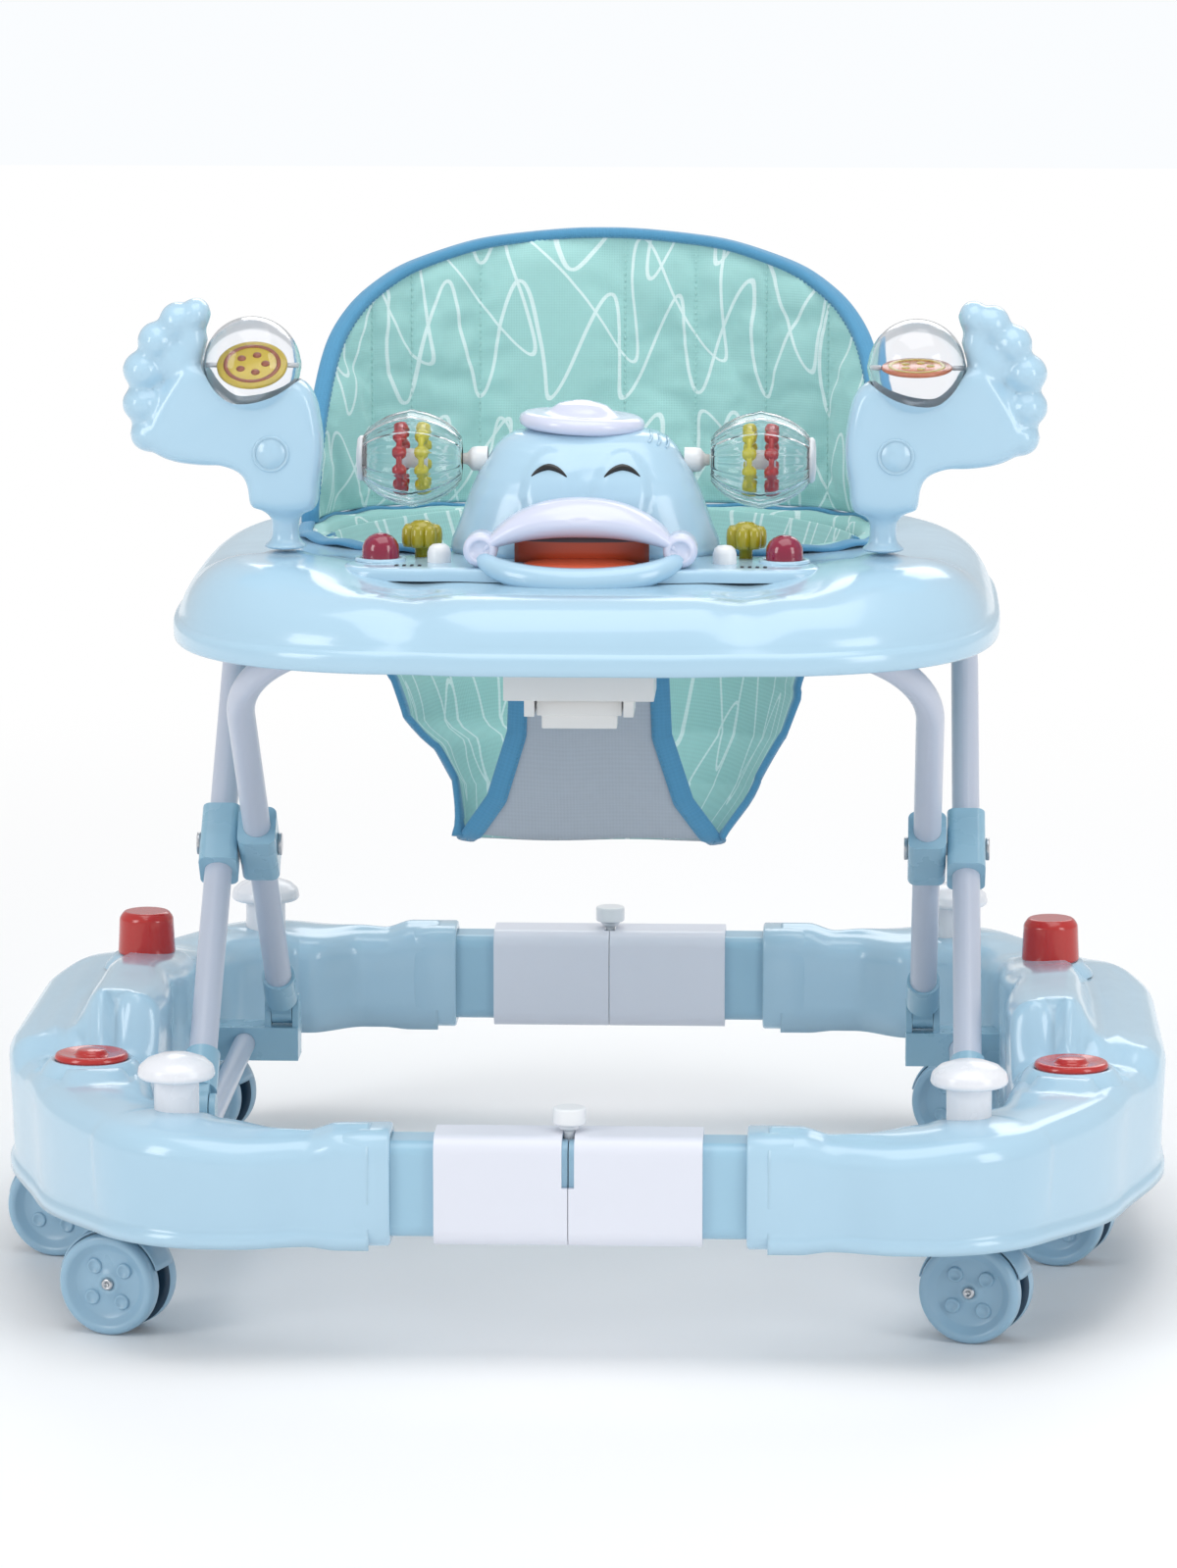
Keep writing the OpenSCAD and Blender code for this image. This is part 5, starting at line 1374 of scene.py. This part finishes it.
def seam_or_edge(k):
    i, j = (k % half_count) // across_count, k % across_count
    return i in seam_columns or j in (0, BACK_ROWS)


pins = backrest.vertex_groups.new(name="sewn")
pins.add([k for k in range(len(back_points)) if seam_or_edge(k)], 1.0, "REPLACE")
wadding = backrest.modifiers.new("wadding", "CLOTH")
wadding.settings.vertex_group_mass = "sewn"
wadding.settings.quality = 6
wadding.settings.mass = 0.25
wadding.settings.tension_stiffness = 12
wadding.settings.compression_stiffness = 12
wadding.settings.bending_stiffness = 0.4
wadding.settings.use_pressure = True
wadding.settings.uniform_pressure_force = 5.0
wadding.settings.effector_weights.gravity = 0
wadding.settings.shrink_min = -0.03
wadding.point_cache.frame_start, wadding.point_cache.frame_end = 1, 20
for moment in range(1, 21):
    bpy.context.scene.frame_set(moment)
swollen = backrest.evaluated_get(bpy.context.evaluated_depsgraph_get()).to_mesh()
moved = [v.co.copy() for v in swollen.vertices]
backrest.modifiers.clear()
backrest.vertex_groups.clear()
for v, rest, now in zip(backrest.data.vertices, start, moved):
    step = now - rest
    if step.length > 0.0075:
        step = step.normalized() * 0.0075
    v.co = rest + step
bpy.context.scene.frame_set(1)
for c in sorted(seam_columns - {0, 160}):
    for j in range(1, BACK_ROWS):
        for offset, base_index in ((0.9, 0), (-0.9, half_count)):
            v = backrest.data.vertices[base_index + c * across_count + j]
            v.co += (rear_grid[c][j] - front_grid[c][j]).normalized() * 0.001 * offset
add_modifier(backrest, "SUBSURF", levels=1, render_levels=1)
rides(backrest, "tray", "printed_fabric", "seat_backrest")
top_edge = [back_point(i, 1.0, 6.8) for i in range(161)]
edge_path = [back_point(0, j / 6, 6.8) for j in range(6)] + top_edge + [back_point(160, 1 - j / 6, 6.8)
    for j in range(1, 7)]
out_ways = [Vector((p.x, p.y - HOLE_Y, 0)).normalized() for p in edge_path]
binding_points = ribbon(edge_path, out_ways, 5.6, 3.4)
binding = new_piece("backrest_binding", *binding_points, blue_tape)
cloth_plan(binding, lambda k: ((k // 14) * 0.004, (k % 14) * 0.002))
rides(binding, "tray", "printed_fabric")
stitches("backrest_binding_stitches", [p - o * 5.5 - Vector((0, 0, 2.2)) for p,
    o in zip(edge_path, out_ways)][8:-8], "tray")
for n, c in enumerate(sorted(seam_columns - {0, 160})):
    line = [front_grid[c][j] + (front_grid[c][j] - rear_grid[c][j]).normalized() * 0.2
        for j in range(2, BACK_ROWS)]
    stitches(f"backrest_seam_{n + 1}", line, "tray", 4.0, mint_thread)

# ---- Seat sling ----
# The hanging part of the seat: a printed panel sweeps from the back of the opening down to the
# front of the crotch, and a grey panel rises from there to the front of the opening. The leg
# holes between them have edges bound in blue tape.
RIGHT_EDGE = [(0, (161, 18, 434)), (0.28, (141, 14, 385)), (0.5, (127, 12, 340)), (0.66, (120, 8, 312)),
    (0.8, (104, 4, 285)), (1.0, (82, -8, 251))]
LEFT_EDGE = [(0, (161, 18, 434)), (0.28, (141, 14, 385)), (0.48, (125, 14, 345)), (0.6, (116, 12, 322)),
    (0.7, (97, 8, 304)), (0.82, (87, 4, 284)), (1.0, (80, -8, 251))]
BACK_LINE = [(0, (0, 162, 434)), (0.28, (0, 158, 385)), (0.5, (0, 147, 335)), (0.66, (0, 122, 296)),
    (0.8, (0, 84, 268)), (1.0, (0, -4, 249))]


def along_table(t, table):
    return Vector([between(t, [(k, p[n]) for k, p in table]) for n in range(3)])


def sling_point(u, v):
    """u 0 to 1 from the left edge round the back to the right edge, v 0 to 1 from the rim down."""
    edge, middle = along_table(v, LEFT_EDGE if u < 0.5 else RIGHT_EDGE), along_table(v, BACK_LINE)
    phi = math.pi * u
    s = math.sin(phi)
    x = -edge.x * math.copysign(abs(math.cos(phi)) ** 0.82, math.cos(phi))
    fold = 1.6 * math.sin(11 * phi + 4 * v) * s * v * (1 - v) * 3
    pucker = 1.1 * math.sin(70 * u) * math.exp(-((v - 0.62) / 0.07) ** 2) * (1 if u > 0.72
        or u < 0.2 else 0)
    y = edge.y + (middle.y - edge.y) * s ** 1.5 + fold + pucker
    z = edge.z + (middle.z - edge.z) * s ** 0.9
    ripple = 3.2 * math.sin(9.5 * v + (0 if u < 0.5 else 1.1)) * (abs(math.cos(phi)) ** 8) * ease(v, 0.3,
        0.5)
    return Vector((x - math.copysign(ripple, x), y, z))


U_STEPS, V_STEPS = 96, 44
sling_grid = [[sling_point(i / U_STEPS, j / V_STEPS) for i in range(U_STEPS + 1)]
    for j in range(V_STEPS + 1)]
sling = new_piece("printed_sling", *skin_of(sling_grid), mint_print)
placed_at = [p for row in sling_grid for p in row]
cloth_plan(sling, lambda k: ((k % (U_STEPS + 1)) / U_STEPS * 0.42,
    placed_at[k].z * 0.001 + (k // (U_STEPS + 1)) / V_STEPS * 0.08))
add_wall(sling, 2.2)
rides(sling, "tray", "printed_fabric", "seat_sling")

STRAP = [(0, 60, (0, -38, 433)), (0.15, 50, (0, -38.5, 405)), (0.4, 45, (0, -36, 362)),
    (0.62, 47, (0, -32, 318)), (0.82, 60, (0, -22, 276)), (0.95, 76, (0, -10, 252)),
         (1.0, 80, (0, -2, 248))]
strap_grid = []
for j in range(37):
    t = j / 36
    centre = along_table(t, [(k, p) for k, w, p in STRAP])
    width = between(t, [(k, w) for k, w, p in STRAP])
    row = []
    for i in range(33):
        s = i / 16 - 1
        bow = 5 * (1 - s * s) * math.sin(math.pi * t) + 0.7 * math.sin(9 * s
            + 5 * t) * math.sin(math.pi * t)
        row.append(Vector((s * width, centre.y - bow + 1.5 * abs(s) ** 3,
            centre.z + 0.6 * math.sin(5 * s))))
    strap_grid.append(row)
strap = new_piece("grey_crotch_panel", *skin_of(strap_grid), grey_cloth)
strap_spots = [p for row in strap_grid for p in row]
cloth_plan(strap, lambda k: (strap_spots[k].x * 0.001, (k // 33) / 36 * 0.2))
add_wall(strap, 1.8)
rides(strap, "tray", "grey_fabric")

tape_parts, tape_lines = [], []
for sx, column in ((-1, 0), (1, U_STEPS)):
    side_path = [sling_grid[j][column] for j in range(V_STEPS + 1)]
    inward = [sling_grid[j][column + (4 if sx < 0 else -4)] - sling_grid[j][column]
        for j in range(V_STEPS + 1)]
    tape_parts.append(ribbon(side_path, inward, 6.2, 2.3))
    tape_lines.append([p + w.normalized() * 5.0 + Vector((0, -2.4, 0)) for p, w in zip(side_path, inward)])
    strap_path = [row[0 if sx < 0 else 32] for row in strap_grid]
    strap_in = [row[3 if sx < 0 else 29] - row[0 if sx < 0 else 32] for row in strap_grid]
    tape_parts.append(ribbon([p + w.normalized() * 3 for p, w in zip(strap_path, strap_in)], strap_in, 6.4,
        2.3))
    tape_lines.append([p + w.normalized() * 8.2 + Vector((0, -2.2, 0)) for p,
        w in zip(strap_path, strap_in)])
leg_tapes = new_piece("leg_hole_binding", *joined(*tape_parts), blue_tape)
cloth_plan(leg_tapes, lambda k: ((k // 14) * 0.004, (k % 14) * 0.002))
rides(leg_tapes, "tray", "grey_fabric")
for n, line in enumerate(tape_lines):
    stitches(f"leg_binding_stitches_{n + 1}", line, "tray")

collar_rows = []
for out, z in ((-1.0, DECK_Z - 12), (-0.6, DECK_Z - 3), (0.8, DECK_Z + 1.6), (4, DECK_Z + 3.0),
    (9, DECK_Z + 2.4), (15, DECK_Z + 1.6)):
    row = []
    for i in range(121):
        a = math.radians(-74 + 328 * i / 120)
        x, y = oval(a, HOLE_X + out, HOLE_B + out, HOLE_Y, 0.78)
        row.append(Vector((x, y, z + 0.9 * math.sin(i * 0.9) * (1 if out > 5 else 0.2))))
    collar_rows.append(row)
rim_cover = new_piece("opening_cover_cloth", *skin_of(collar_rows), mint_print)
cloth_plan(rim_cover, lambda k: ((k % 121) * 0.0045, (k // 121) * 0.006))
add_wall(rim_cover, 1.2)
rides(rim_cover, "tray", "printed_fabric")
# Cut: a strip 800 mm long round the opening, 29 mm wide over its edge.
cover_edge = [p + Vector((0, 0, 0.8)) for p in collar_rows[-1]]
cover_in = [b - a for a, b in zip(collar_rows[-1], collar_rows[-2])]
cover_tape = new_piece("opening_cover_binding", *ribbon(cover_edge, cover_in, 4.6, 1.7), blue_tape)
cloth_plan(cover_tape, lambda k: ((k // 14) * 0.004, (k % 14) * 0.002))
rides(cover_tape, "tray", "printed_fabric")
